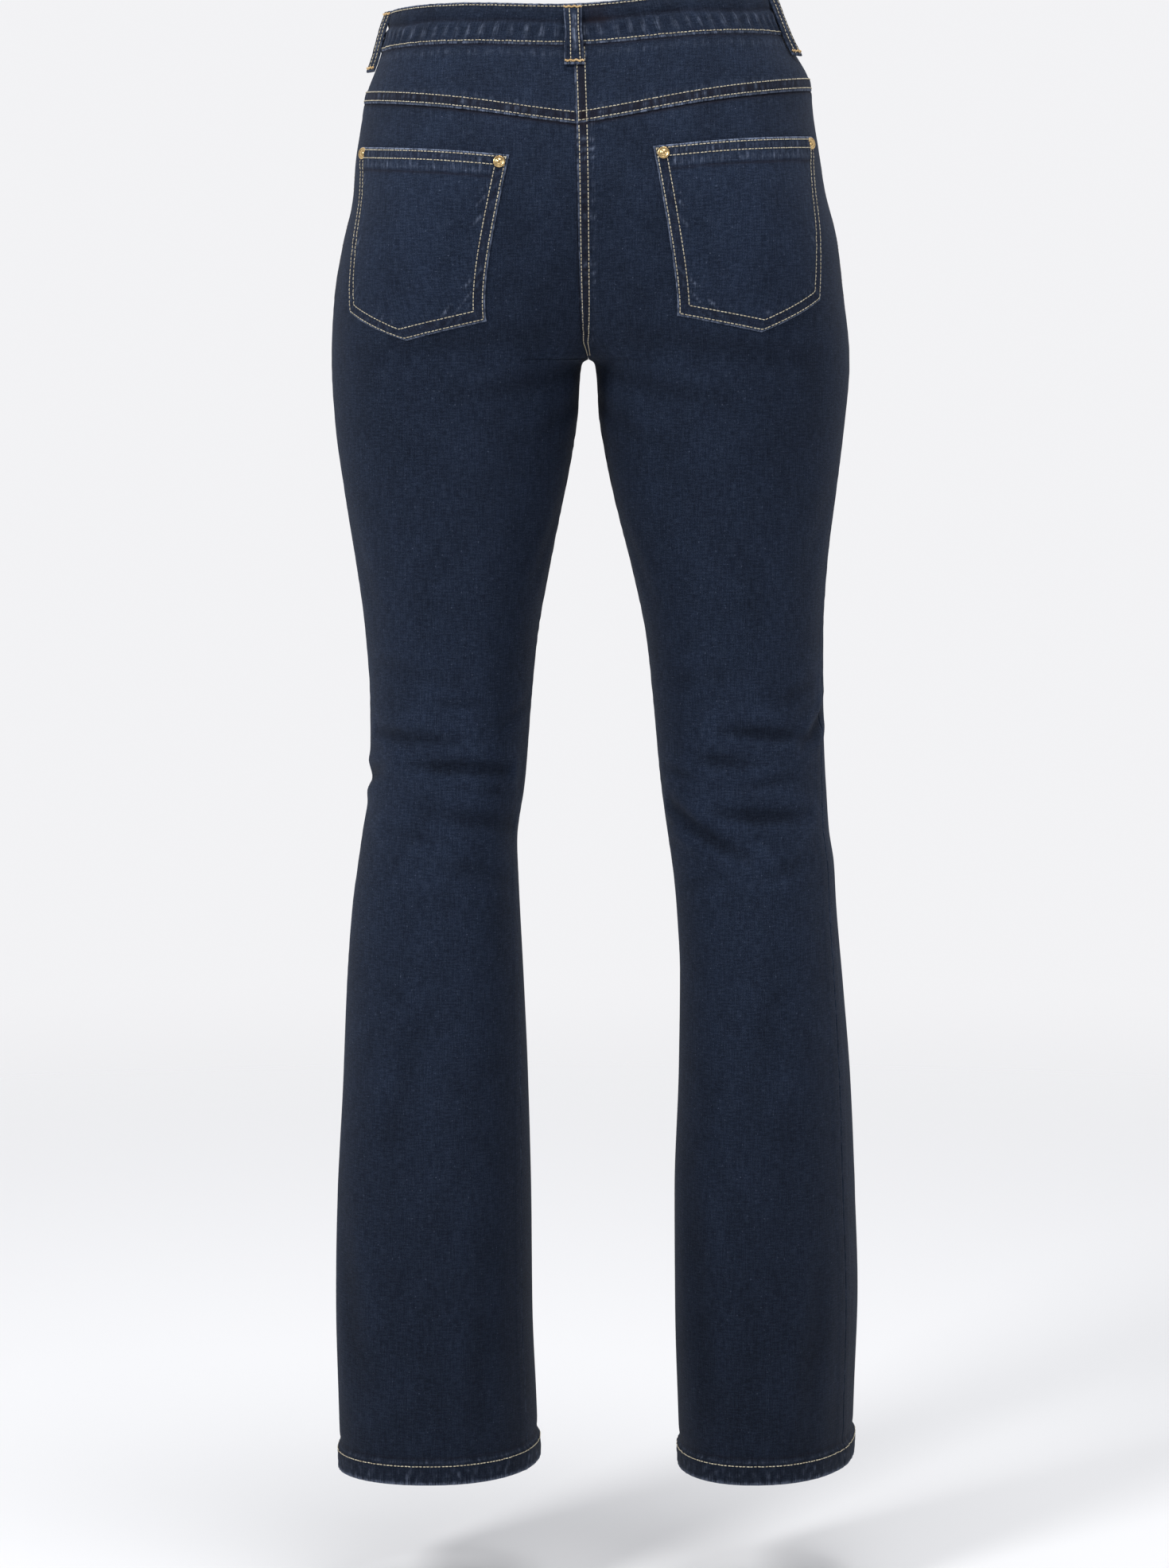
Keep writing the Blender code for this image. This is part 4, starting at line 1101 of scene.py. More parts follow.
class Pocket:
    """A back pocket in its own square of shares: across from the inner side, and down from the top."""

    def __init__(self, cloth, corners):
        self.cloth = cloth
        inner_top, outer_top, outer_low, tip, inner_low = (np.array(c, float) for c in corners)
        self.corners = (inner_top, outer_top, outer_low, tip, inner_low)
        self.tip = float(np.clip((tip - inner_low)[0] / (outer_low - inner_low)[0], 0.1, 0.9))

    def place(self, u, v):
        """Distance across the panel and height at shares of the pocket."""
        inner_top, outer_top, outer_low, tip, inner_low = self.corners
        u, v = np.broadcast_arrays(np.asarray(u, float), np.asarray(v, float))
        top = inner_top + (outer_top - inner_top) * u[..., None]
        before = inner_low + (tip - inner_low) * (u / self.tip)[..., None]
        after = tip + (outer_low - tip) * ((u - self.tip) / (1 - self.tip))[..., None]
        low = np.where((u < self.tip)[..., None], before, after)
        return top + (low - top) * v[..., None]

    def distances(self, place):
        """How far a place lies inside each of the pocket's five edges, the top one first."""
        corners = self.corners
        found = []
        for a, b in zip(corners, corners[1:] + corners[:1]):
            way = unit(b - a)
            found.append(-(place[..., 1] - a[1]) * way[0] + (place[..., 0] - a[0]) * way[1])
        return found

    def raise_by(self, place):
        """How far the pocket stands off the back panel."""
        top, *rest = self.distances(place)
        side = np.minimum.reduce(rest)
        run, height = place[..., 0], place[..., 1]
        total = SEAM_GAP + POCKET_CLOTH + 0.45 * (1 - smooth(top, POCKET_HEM - 0.4, POCKET_HEM + 0.7))
        total = total + 0.36 * wave(run + height, 8.2, 2.0) * bump(side, 5.0, 5.0) * smooth(side, 0, 3)
        total = total + 0.34 * wave(run, 6.2, 4.2) * bump(top, 8.5, 6.5)
        for row in (POCKET_EDGE, POCKET_SECOND):
            total = total - 0.20 * bump(side, row, 0.8)
        for row in POCKET_TOP_ROWS:
            total = total - 0.20 * bump(top, row, 0.8)
        total = total + 0.55 * smooth(side, 8, 30) * smooth(top, 12, 40)
        return total - rolled(np.minimum(side, top), 0.75, 0.9, 1.5)

    def at(self, place):
        """Points and normals on the pocket's outer face."""
        base, normal = self.cloth.at(place[..., 0], place[..., 1])
        return base + normal * self.raise_by(place)[..., None], normal

    def inset(self, side_in, top_in):
        """The pocket's corners moved in from its edges."""
        lines = []
        ins = (top_in, side_in, side_in, side_in, side_in)
        for (a, b), gap in zip(zip(self.corners, self.corners[1:] + self.corners[:1]), ins):
            way = unit(b - a)
            lines.append((a + gap * np.array([way[1], -way[0]]), way))
        found = []
        for k in range(5):
            (p, d), (q, e) = lines[k - 1], lines[k]
            t = np.linalg.solve(np.array([d, -e]).T, q - p)[0]
            found.append(p + t * d)
        return found


def path(points, step=0.8):
    """A run of straight lines between points, cut into short steps."""
    points = [np.array(p, float) for p in points]
    parts = []
    for a, b in zip(points, points[1:]):
        count = max(2, int(np.linalg.norm(b - a) / step))
        parts.append(a + (b - a) * np.linspace(0, 1, count, endpoint=False)[:, None])
    parts.append(points[-1][None, :])
    return np.concatenate(parts)


def edge_shares(count, near, length):
    """Shares from 0 to 1, crowded near both ends by the given distances in millimetres."""
    near = np.array(near) / length
    return np.concatenate([near[:-1], np.linspace(near[-1], 1 - near[-1], count), (1 - near[:-1])[::-1]])


def build_pocket(name, cloth, corners, looks, thread):
    """A five-cornered patch pocket on a back panel, with its rows of stitches."""
    pocket = Pocket(cloth, corners)
    near = (0, 0.3, 0.7, 1.2, 1.9, 2.6, 4.0, 5.6, 7.2, 8.1, 9.0, 10.4)
    u = edge_shares(96, near, POCKET_SIZE)[None, :]
    top = np.array([0, 0.3, 0.7, 1.3, 2.0, 2.7, 4.2, 5.8, 7.1, 7.8, 8.5, 10.2, 12.4, 14.2, 15.1, 15.7, 16.4])
    v = np.concatenate([top / POCKET_SIZE, np.linspace(18 / POCKET_SIZE, 1 - near[-1] / POCKET_SIZE, 46),
                        1 - np.array(near[:-1])[::-1] / POCKET_SIZE])[:, None]
    place = pocket.place(u, v)
    outer, normal = pocket.at(place)
    base, _ = cloth.at(place[..., 0], place[..., 1])
    inner = base + normal * CLEAR
    top_gap, *rest = pocket.distances(place)
    side_gap = np.minimum.reduce(rest)
    run, height = place[..., 0], place[..., 1]
    ripple = uneven(run + height, 8.2, 2.0)
    ladder = uneven(run, 4.6, 4.2)
    marks = plain_marks(run.shape)
    marks["wear"] += 0.78 * bump(np.minimum(side_gap, top_gap), 0.35, 0.8) * (0.6 + 0.4 * ripple)
    inside_top = smooth(side_gap, 6.0, 9.0)
    marks["wear"] += 0.24 * bump(side_gap, 5.0, 1.9) * ripple ** 2
    marks["wear"] += 0.46 * bump(side_gap, 12.0, 3.2) * ripple ** 4 * smooth(top_gap, 14, 22)
    marks["wear"] += 0.20 * bump(top_gap, 0.3, 1.3)
    marks["wear"] += 0.44 * ladder ** 2 * bump(top_gap, 5.0, 2.2) * inside_top
    marks["wear"] += 0.36 * ladder ** 2 * bump(top_gap, 11.0, 3.2) * inside_top
    marks["wear"] += 0.14 * bump(top_gap, 13.5, 1.8) * inside_top
    # Painted shadow just under the pocket's hem fold.
    marks["seam_dark_and_shadow"] += 0.60 * bump(top_gap, POCKET_HEM + 1.2, 1.4) * inside_top
    side_rows = band(side_gap, 2.4, 7.0)
    top_rows = band(top_gap, 2.4, 6.8, 0.8)
    marks["seam_dark_and_shadow"] += 0.55 * side_rows * (1 - 0.6 * ripple) + 0.45 * top_rows * (1 - 0.6 * ladder)
    marks["tone"] *= 1.04 + 0.06 * smooth(side_gap, 8, 40)
    piece = shell("denim_pocket_" + name, outer, inner, run, height, marks, looks)
    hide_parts("back_pocket_" + name)
    for side_in in (POCKET_EDGE, POCKET_SECOND):
        corner = pocket.inset(side_in, 1.2)
        thread.row(*pocket.at(path([*corner[1:], corner[0]])))
    for top_in in POCKET_TOP_ROWS:
        thread.row(*pocket.at(path(pocket.inset(1.4, top_in)[:2])))


# The belt loops' rows, tail and tacks, and the waistband's rows and puckers. Its rows are distances
# from its upper edge.
LOOP_ROWS = (-3.8, 2.3)
LOOP_TAIL = 15.2
TACK_STITCHES = 19
TACK_HALF = 5.9
BAND_ROWS = (2.2, 27.9)
BAND_PUCKER = 9.8


def strip_frame(skin, face, share, turn):
    """The directions out of a loop and across it."""
    way = skin.normal(face, share, BAND_BOTTOM)
    angle = math.radians(turn)
    way = np.array((way[0] * math.cos(angle) - way[1] * math.sin(angle),
                    way[0] * math.sin(angle) + way[1] * math.cos(angle), way[2]))
    return way, unit(np.cross(way, (0.0, 0.0, 1.0)))


def build_loop(name, node, skin, face, share, turn, looks, thread, tacks):
    """A belt loop: a folded strip tacked at both ends, a little hollow behind the waistband's middle."""
    stand = BAND_OUT + SEAM_GAP
    faded = 1.0 if turn == 0 else 0.55
    high = BAND_OUT + LOOP_SLOT - (0.0 if turn == 0 else 1.7)
    profile = np.array((
        (BAND_TOP - 1.0, stand), (BAND_TOP - 4.0, stand + 0.15), (BAND_TOP - 7.5, high - 0.6),
        (BAND_TOP - 15.0, high + 0.2), (BAND_BOTTOM + 7.0, high + 0.3), (BAND_BOTTOM - 1.0, high - 0.4),
        (BAND_BOTTOM - 7.0, BAND_OUT + FELL_RAISE), (BAND_BOTTOM - LOOP_TAIL, BAND_OUT + FELL_RAISE)))
    length = profile[0, 0] - profile[-1, 0]
    down = np.concatenate([[0, 0.35, 0.8], np.linspace(1.6, length - 1.6, 50),
                           [length - 0.8, length - 0.35, length]])
    heights = profile[0, 0] - down
    rise = curve(profile[::-1], 1, heights) + 2.2 * abs(math.sin(math.radians(turn)))
    way, across = strip_frame(skin, face, share, turn)
    half = LOOP_WIDTH / 2
    reach = np.array([-half, -6.2, -5.8, -5.2, -4.4, -3.8, -3.2, -2.2, -1.4, -0.7, 0,
                      0.8, 1.6, 2.3, 3.0, 3.8, 4.6, 5.2, 5.8, 6.2, half])
    centre = skin.point(face, share, heights)
    edge = half - np.abs(reach)[None, :]
    end = np.minimum(down, length - down)[:, None]
    wobble = 0.22 * wave(heights, 6.5, share * 9 + 1)[:, None]
    ridge = np.minimum(np.abs(reach - LOOP_ROWS[0]), np.abs(reach - LOOP_ROWS[1]))[None, :]
    crown = 0.30 * bump(reach, -0.7, 2.2)[None, :]
    top = LOOP_CLOTH + crown - 0.24 * bump(ridge, 0.0, 0.7)
    top = top - rolled(np.minimum(edge, end), 0.7, 0.9, 1.5) + 0.5 * wobble
    waist = 1.04 - 0.13 * bump(down, length * 0.42, length * 0.27) + 0.05 * (down / length) ** 3
    side = np.broadcast_to(reach[None, :] * waist[:, None] + 0.6 * wobble, top.shape)
    base = centre[:, None, :] + across * side[..., None]
    outer = base + way * (rise[:, None] + top)[..., None]
    inner = base + way * (rise[:, None] + 0.15 * (1 - smooth(edge, 0, 0.8)))[..., None]
    run = np.broadcast_to(reach[None, :], top.shape)
    height = np.broadcast_to(heights[:, None], top.shape)
    ripple = uneven(height + 3 * np.sign(run), 5.5, share * 5)
    marks = plain_marks(run.shape, 1.05)
    middle = smooth(down, 5, 11) * (1 - smooth(down, 30, 37))
    marks["wear"] += 0.80 * faded * bump(run, -0.7, 1.7) * middle[:, None] * (0.55 + 0.45 * ripple)
    marks["wear"] += faded * (0.62 * bump(edge, 0.4, 0.8) * (0.5 + 0.5 * ripple) + 0.6 * bump(end, 0.4, 0.9))
    marks["seam_dark_and_shadow"] += 0.45 * bump(ridge, 0.0, 0.9) + 0.4 * bump(edge, 1.6, 0.7)
    piece = shell(name, outer, inner, run, height, marks, looks)
    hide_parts(node)
    for offset in LOOP_ROWS:
        col = int(np.argmin(np.abs(reach - offset)))
        thread.row(outer[2:-2, col], np.broadcast_to(way, outer[2:-2, col].shape), lift_by=0.2)
    for depth in (2.4, length - 2.6):
        row = int(np.argmin(np.abs(down - depth)))
        order = np.arange(TACK_STITCHES)
        line = read_along(reach, outer[row], np.linspace(-TACK_HALF, TACK_HALF, TACK_STITCHES))
        up = np.broadcast_to((0.0, 0.0, 1.0), line.shape)
        lean = up + across * 0.30 * np.where(order % 2, 1, -1)[:, None]
        line = line + up * (0.35 * np.sin(order * 1.1))[:, None]
        tacks.lay(line + way * 0.38, lean, np.broadcast_to(way, line.shape), 1.5)


def build_waistband(skins, looks, thread):
    """A strip all round, its left end lapped over its right end at the centre front."""
    left, right = skins[1], skins[-1]
    front_left, front_right = left.width("front", BAND_BOTTOM), right.width("front", BAND_BOTTOM)
    stations = [(left, "front", 1 - d / front_left, 0.0) for d in np.linspace(28, 0.6, 15)]
    stations += [(right, "front", u, 0.0) for u in np.linspace(0.998, 0.006, 130)]
    stations += [(right, "back", u, 0.0) for u in np.linspace(0.994, 0.006, 170)]
    middle = len(stations)
    stations += [(left, "back", u, 0.0) for u in np.linspace(0.002, 0.994, 170)]
    over = np.linspace(0.006, 1 - 0.6 / front_left, 136)
    lap = 1 - smooth((1 - over) * front_left, 34, 60)
    stations += [(left, "front", u, k) for u, k in zip(over, lap)]
    stations += [(right, "front", 1 - d / front_right, 1.0) for d in np.linspace(0.6, 10, 9)]
    down = np.array([0, 0.25, 0.6, 1.1, 1.6, 2.2, 3.2, 5.0, 7.0, 9.0, 10.5, 11.8, 13.0, 14.2, 15.4,
                     16.8, 18.4, 20.2, 22.2, 24.2, 26.0, 27.2, 27.9, 28.5, 29.0, 29.4, 29.75,
                     BAND_TOP - BAND_BOTTOM])
    below_top = down[None, :]
    heights = BAND_TOP - down
    base, ways = [], []
    for skin, face, share, lapped in stations:
        way = skin.normal(face, share, heights)
        base.append(skin.point(face, share, heights) + way * lapped * LAP_RAISE)
        ways.append(way)
    base, ways = np.array(base), np.array(ways)
    step = np.linalg.norm(np.diff(base[:, 10], axis=0), axis=-1)
    run = np.concatenate([[0], np.cumsum(step)])[:, None]
    edge = np.minimum(below_top, down[-1] - below_top)
    up = np.full((len(run), len(down)), BAND_OUT)
    up = up - rolled(edge, 0.75, 1.1, 1.5)
    up = up + 0.30 * wave(run, 7.8, 0.6) * np.exp(-below_top / 5.5)
    pucker = np.cos(2 * math.pi * run / BAND_PUCKER + 1.5 * wave(run, 57.0, 1.0))
    up = up + 0.55 * pucker * bump(down[-1] - below_top, 6.5, 5.5)
    up = up + 0.22 * wave(run + 0.7 * below_top, 21.0, 5.0)
    bend = 13.2 + 1.3 * wave(run, 83.0, 2.0)
    up = up - 1.15 * bump(below_top, bend, 1.9) * uneven(run, 47.0, 2.0, 0.25)
    up = up + 0.55 * bump(below_top, bend + 4.2, 2.6) + 0.35 * bump(below_top, 7.5, 3.0)
    for row in BAND_ROWS:
        up = up - 0.22 * bump(below_top, row, 0.8)
    outer = base + ways * up[..., None]
    stay = np.array([LAP_RAISE * lapped * (face == "front" and skin is left)
                     * smooth((1 - share) * front_left, 28.6, 30.4)
                     for skin, face, share, lapped in stations])[:, None]
    inner = base - ways * (BAND_IN + stay - 0.6 * (1 - smooth(below_top, 0, 1.0)))[..., None]
    height = np.broadcast_to(heights[None, :], up.shape)
    run = np.broadcast_to(run, up.shape)
    ripple = uneven(run, 7.8, 0.6)
    low = 0.5 + 0.5 * np.broadcast_to(pucker, run.shape)
    patches = uneven(run, 41.0, 0.4, 0.2)
    beside = run[middle, 0] - run
    marks = plain_marks(run.shape, 1.02)
    marks["wear"] += 0.85 * bump(below_top, 0.4, 0.9) * (0.6 + 0.4 * ripple)
    marks["wear"] += 0.16 * bump(below_top, 5.0, 2.5) * ripple
    marks["wear"] += 0.42 * bump(below_top, 20.5, 5.4) * low ** 2 * patches
    marks["wear"] += 0.60 * bump(below_top, 29.5, 0.8) * (0.6 + 0.4 * low)
    # Painted shade in the band's middle crease, and a thin darkened line just under its top row.
    marks["seam_dark_and_shadow"] += 0.42 * bump(below_top, bend - 0.6, 2.0) + 0.35 * bump(below_top, 3.2, 1.0)
    # Painted shadow on the band beside the centre back loop.
    marks["seam_dark_and_shadow"] += 0.55 * bump(beside, 17.0, 11.0) * (1 - smooth(below_top, 12, 25))
    marks["tone"] *= 1 - 0.16 * bump(below_top, 8.0, 5.0) + 0.06 * wave(run, 37.0, 1.0)
    piece = shell("denim_waistband", outer, inner, run, height, marks, looks)
    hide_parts("waistband")
    for row in BAND_ROWS:
        col = int(np.argmin(np.abs(down - row)))
        thread.row(outer[15:-2, col], ways[15:-2, col])
    thread.row(outer[-3, 4:-4], ways[-3, 4:-4])


def build_placket(cloth, looks, thread):
    """The fly's J on the left front: a stitched-down fold whose straight side is the front edge."""
    left_edge = np.array(((886.5, -2.0), (888, -8.0), (895, -21.0), (908, -32.0), (923, -FLY_WIDTH),
                          (1030, -38.0)))
    top, low = BAND_BOTTOM - SEAM_GAP, FLY_LOW
    down = np.concatenate([[0, 0.4, 1.0], np.linspace(2.5, 110, 36), np.linspace(112, top - low - 1.2, 24),
                           [top - low - 0.6, top - low]])
    heights = (top - down)[:, None]
    first = np.interp(heights, left_edge[:, 0], left_edge[:, 1])
    share = edge_shares(18, (0, 0.3, 0.8, 1.6, 3.0), 38.0)[None, :]
    back_run = first + (-0.3 - first) * share
    height = np.broadcast_to(heights, back_run.shape).copy()
    width = cloth.skin.width("front", height)
    run = width + back_run
    base, normal = cloth.at(run, height)
    side = (-0.3 - first) * share
    far = -back_run
    end = height - low
    edge = np.minimum.reduce([side, far, np.maximum(end, 0)])
    up = SEAM_GAP + FLY_THICK - rolled(edge, 0.6, 0.9, 1.5)
    up = up + 0.22 * wave(height, 8.6, 1.4) * bump(side, 3, 6.0)
    outer, inner = base + normal * up[..., None], base + normal * CLEAR
    marks = plain_marks(run.shape)
    ripple = uneven(height, 8.6, 1.4)
    marks["wear"] += 0.45 * bump(edge, 0.3, 0.9) + 0.14 * bump(side, 4.5, 2.0) * ripple
    piece = shell("denim_fly", outer, inner, run, height, marks, looks)
    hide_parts("fly_placket")
    straight = np.linspace(top - 1, FLY_BEND, 130)
    turn = np.linspace(0, math.pi / 2, 60)[1:]
    for gap in FLY_ROWS:
        bend = FLY_WIDTH - gap
        line_run = np.concatenate([np.full(len(straight), -bend), -bend * np.cos(turn) ** 0.9])
        line_height = np.concatenate([straight, FLY_BEND - (FLY_BEND - FLY_TURN - gap) * np.sin(turn) ** 1.1])
        keep = line_run < -1.0
        line_run, line_height = line_run[keep], line_height[keep]
        place, way = cloth.at(cloth.skin.width("front", line_height) + line_run, line_height)
        thread.row(place + way * (SEAM_GAP + FLY_THICK), way)


def turned(profile, centre, normal, segments):
    """A round fitting from its profile of (radius, height), with a pole at each end."""
    normal = unit(normal)
    side = unit(np.cross(normal, (0.0, 0.0, 1.0)))
    other = np.cross(normal, side)
    points = [centre + normal * profile[0][1]]
    angles = 2 * math.pi * np.arange(segments) / segments
    spokes = [side * math.cos(angle) + other * math.sin(angle) for angle in angles]
    for radius, height in profile[1:-1]:
        points += [centre + normal * height + radius * spoke for spoke in spokes]
    points.append(centre + normal * profile[-1][1])
    rings = len(profile) - 2
    faces = []
    for k in range(segments):
        n = (k + 1) % segments
        faces.append((0, 1 + n, 1 + k))
        for ring in range(rings - 1):
            a, b = 1 + ring * segments, 1 + (ring + 1) * segments
            faces.append((a + k, a + n, b + n, b + k))
        last = 1 + (rings - 1) * segments
        faces.append((last + k, last + n, len(points) - 1))
    return points, faces


# The fittings' outlines as (radius, height) in millimetres, from the cloth up to the middle.
RIVET_PROFILE = ((0, 0), (3.2, 0), (4.05, 0.15), (4.2, 0.5), (4.1, 0.85), (3.8, 1.12), (3.35, 1.2),
                 (2.95, 1.08), (2.6, 0.92), (2.2, 0.95), (1.7, 1.35), (1.1, 1.66), (0.5, 1.76), (0, 1.78))
BUTTON_PROFILE = ((0, 0), (4.0, 0), (4.0, 1.3), (7.6, 1.5), (8.35, 2.1), (8.5, 2.9), (8.3, 3.7), (7.7, 4.3),
                  (7.0, 4.45), (6.4, 4.2), (6.0, 3.7), (5.4, 3.45), (4.0, 3.4), (3.2, 3.5), (2.6, 3.95),
                  (1.6, 4.3), (0.8, 4.38), (0, 4.4))


def fitting(name, node, profile, centre, normal, look, segments):
    """A rivet or the button, standing on the cloth."""
    points, faces = turned(profile, centre, normal, segments)
    piece = mesh_object(name, points, faces, [look], sharp=60)
    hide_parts(node)


class Nodes:
    """A shorthand for building a material's nodes."""

    def __init__(self, name, color, roughness, metallic=0.0):
        self.material = bpy.data.materials.new(name)
        self.material.use_nodes = True
        self.material.diffuse_color = (*color, 1.0)
        self.tree = self.material.node_tree
        self.shader = self.tree.nodes["Principled BSDF"]
        self.shader.inputs["Base Color"].default_value = (*color, 1.0)
        self.shader.inputs["Roughness"].default_value = roughness
        self.shader.inputs["Metallic"].default_value = metallic

    def add(self, kind, **values):
        """A new node with some of its settings."""
        node = self.tree.nodes.new(kind)
        for key, value in values.items():
            setattr(node, key, value)
        return node

    def link(self, start, end):
        """Join an output to an input."""
        self.tree.links.new(start, end)

    def set(self, socket, value):
        """Feed an input with a number, a colour or another node's output."""
        if hasattr(value, "is_linked"):
            self.link(value, socket)
        else:
            socket.default_value = value

    def math(self, operation, a, b=0.0, c=0.0):
        """One step of arithmetic."""
        node = self.add("ShaderNodeMath", operation=operation)
        for socket, value in zip(node.inputs, (a, b, c)):
            self.set(socket, value)
        return node.outputs[0]

    def mix(self, factor, a, b):
        """A colour between two others."""
        node = self.add("ShaderNodeMix", data_type="RGBA")
        self.set(node.inputs[0], factor)
        self.set(node.inputs[6], a)
        self.set(node.inputs[7], b)
        return node.outputs[2]

    def ramp(self, value, low, high):
        """0 to 1 between two values, with soft ends."""
        node = self.add("ShaderNodeMapRange", interpolation_type="SMOOTHSTEP")
        self.set(node.inputs[0], value)
        node.inputs[1].default_value = low
        node.inputs[2].default_value = high
        return node.outputs[0]

    def roughen(self, height, strength, distance):
        """Raise the surface's fine relief by a height."""
        node = self.add("ShaderNodeBump")
        node.inputs["Strength"].default_value = strength
        node.inputs["Distance"].default_value = distance
        self.link(height, node.inputs["Height"])
        self.link(node.outputs[0], self.shader.inputs["Normal"])

    def mark(self, name):
        """A wear mark of the cloth."""
        return self.add("ShaderNodeAttribute", attribute_name=name).outputs["Fac"]

    def cloth_noise(self, across, up, detail=2.0, roughness=0.5):
        """Noise in the cloth's own coordinates: this many grains to the metre across and up."""
        place = self.add("ShaderNodeUVMap", uv_map="cloth").outputs[0]
        sizes = self.add("ShaderNodeVectorMath", operation="MULTIPLY")
        self.link(place, sizes.inputs[0])
        sizes.inputs[1].default_value = (across, up, 1.0)
        noise = self.add("ShaderNodeTexNoise", noise_dimensions="2D")
        self.link(sizes.outputs[0], noise.inputs["Vector"])
        noise.inputs["Scale"].default_value = 1.0
        noise.inputs["Detail"].default_value = detail
        noise.inputs["Roughness"].default_value = roughness
        return noise.outputs["Fac"]


# The denim's colours: its dyed yarns, their pale and deep streaks, worn spots, darkened seams and the weft.
INDIGO = (0.0119, 0.0194, 0.0385)
INDIGO_PALE = (0.0380, 0.0520, 0.0860)
INDIGO_DEEP = (0.0056, 0.0090, 0.0190)
WORN = (0.150, 0.180, 0.255)
# The seam bands' colour, which also paints the shadows by folded edges and in the waistband's crease.
SEAM_DARK_AND_SHADOW = (0.0105, 0.0085, 0.0125)
WEFT = (0.150, 0.165, 0.205)
WEFT_DEEP = (0.108, 0.1221, 0.1599)


def denim(name, paler):
    """The denim's right side: streaked indigo, rubbed where marked, darkened at seams and painted shadows."""
    n = Nodes(name, INDIGO, 0.86)
    slub = n.cloth_noise(1100, 75, 2.0, 0.55)
    weft = n.cloth_noise(150, 950, 1.0, 0.5)
    grain = n.cloth_noise(1300, 1100, 2.0, 0.6)
    speck = n.cloth_noise(820, 640, 0.0, 0.5)
    cloud = n.cloth_noise(38, 26, 3.0, 0.6)
    patch = n.cloth_noise(330, 250, 3.0, 0.65)
    fine = n.math("MULTIPLY_ADD", grain, 0.46, n.math("MULTIPLY", weft, 0.26))
    streaks = n.math("MULTIPLY_ADD", slub, 0.28, fine)
    pale = n.ramp(streaks, 0.44, 0.66)
    color = n.mix(n.math("MULTIPLY", pale, 0.42), (*INDIGO, 1), (*INDIGO_PALE, 1))
    deep = n.ramp(streaks, 0.54, 0.38)
    color = n.mix(n.math("MULTIPLY", deep, 0.62), color, (*INDIGO_DEEP, 1))
    fleck = n.math("MULTIPLY", n.ramp(speck, 0.78, 0.90), n.ramp(patch, 0.46, 0.62))
    color = n.mix(n.math("MULTIPLY", fleck, 0.30), color, (*WORN, 1))
    # Darken toward the seam colour: seam bands between rows, and painted shadows under and beside folds.
    seam_dark_and_shadow = n.math("MULTIPLY", n.mark("seam_dark_and_shadow"), n.math("MULTIPLY_ADD", patch, 0.5, 0.6))
    color = n.mix(n.ramp(seam_dark_and_shadow, 0.0, 1.0), color, (*SEAM_DARK_AND_SHADOW, 1))
    wear = n.mark("wear")
    rubbed = n.math("MULTIPLY", wear, n.math("MULTIPLY_ADD", n.ramp(slub, 0.30, 0.72), 0.75, 0.32))
    rubbed = n.math("MULTIPLY", rubbed, n.math("MULTIPLY_ADD", n.ramp(patch, 0.3, 0.7), 0.6, 0.55))
    color = n.mix(n.ramp(rubbed, 0.0, 0.62), color, (*WORN, 1))
    mottle = n.math("MULTIPLY_ADD", cloud, 0.56, n.math("MULTIPLY_ADD", patch, 0.50, 0.47))
    tone = n.math("MULTIPLY", n.mark("tone"), mottle)
    tone = n.math("MULTIPLY", tone, paler)
    bright = n.add("ShaderNodeVectorMath", operation="SCALE")
    n.link(color, bright.inputs[0])
    n.link(tone, bright.inputs["Scale"])
    n.link(bright.outputs[0], n.shader.inputs["Base Color"])
    n.shader.inputs["Specular IOR Level"].default_value = 0.10
    n.shader.inputs["Sheen Weight"].default_value = 0.03
    n.shader.inputs["Sheen Roughness"].default_value = 0.5
    n.shader.inputs["Sheen Tint"].default_value = (0.55, 0.62, 0.80, 1.0)
    twill_bump(n, slub, grain)
    return n.material


def twill_bump(n, slub, grain):
    """The weave's steep diagonal, roughened by its uneven yarns."""
    place = n.add("ShaderNodeUVMap", uv_map="cloth").outputs[0]
    split = n.add("ShaderNodeSeparateXYZ")
    n.link(place, split.inputs[0])
    up_phase = n.math("MULTIPLY", split.outputs[1], -4600.0)
    phase = n.math("MULTIPLY_ADD", split.outputs[0], 9200.0, up_phase)
    phase = n.math("ADD", phase, n.math("MULTIPLY", slub, 5.0))
    line = n.math("MULTIPLY", n.math("SINE", phase), 0.5)
    yarns = n.math("MULTIPLY_ADD", slub, 0.8, n.math("MULTIPLY", grain, 0.5))
    height = n.math("MULTIPLY_ADD", line, 0.45, yarns)
    n.roughen(height, 0.55, 0.00035)


def denim_inside(name):
    """The wrong side of the denim, where the paler weft shows."""
    n = Nodes(name, WEFT, 0.9)
    slub = n.cloth_noise(900, 60, 2.0, 0.55)
    grain = n.cloth_noise(1500, 1500, 1.0, 0.5)
    color = n.mix(n.ramp(slub, 0.3, 0.7), (*WEFT_DEEP, 1), (*WEFT, 1))
    color = n.mix(n.math("MULTIPLY", n.ramp(grain, 0.5, 0.75), 0.5), color, (*INDIGO_PALE, 1))
    n.link(color, n.shader.inputs["Base Color"])
    n.shader.inputs["Specular IOR Level"].default_value = 0.2
    twill_bump(n, slub, grain)
    return n.material


def object_noise(n, scale, detail):
    """Noise in the piece's own space: this many grains to the metre."""
    place = n.add("ShaderNodeTexCoord").outputs["Object"]
    noise = n.add("ShaderNodeTexNoise")
    n.link(place, noise.inputs["Vector"])
    noise.inputs["Scale"].default_value = scale
    noise.inputs["Detail"].default_value = detail
    return noise.outputs["Fac"]


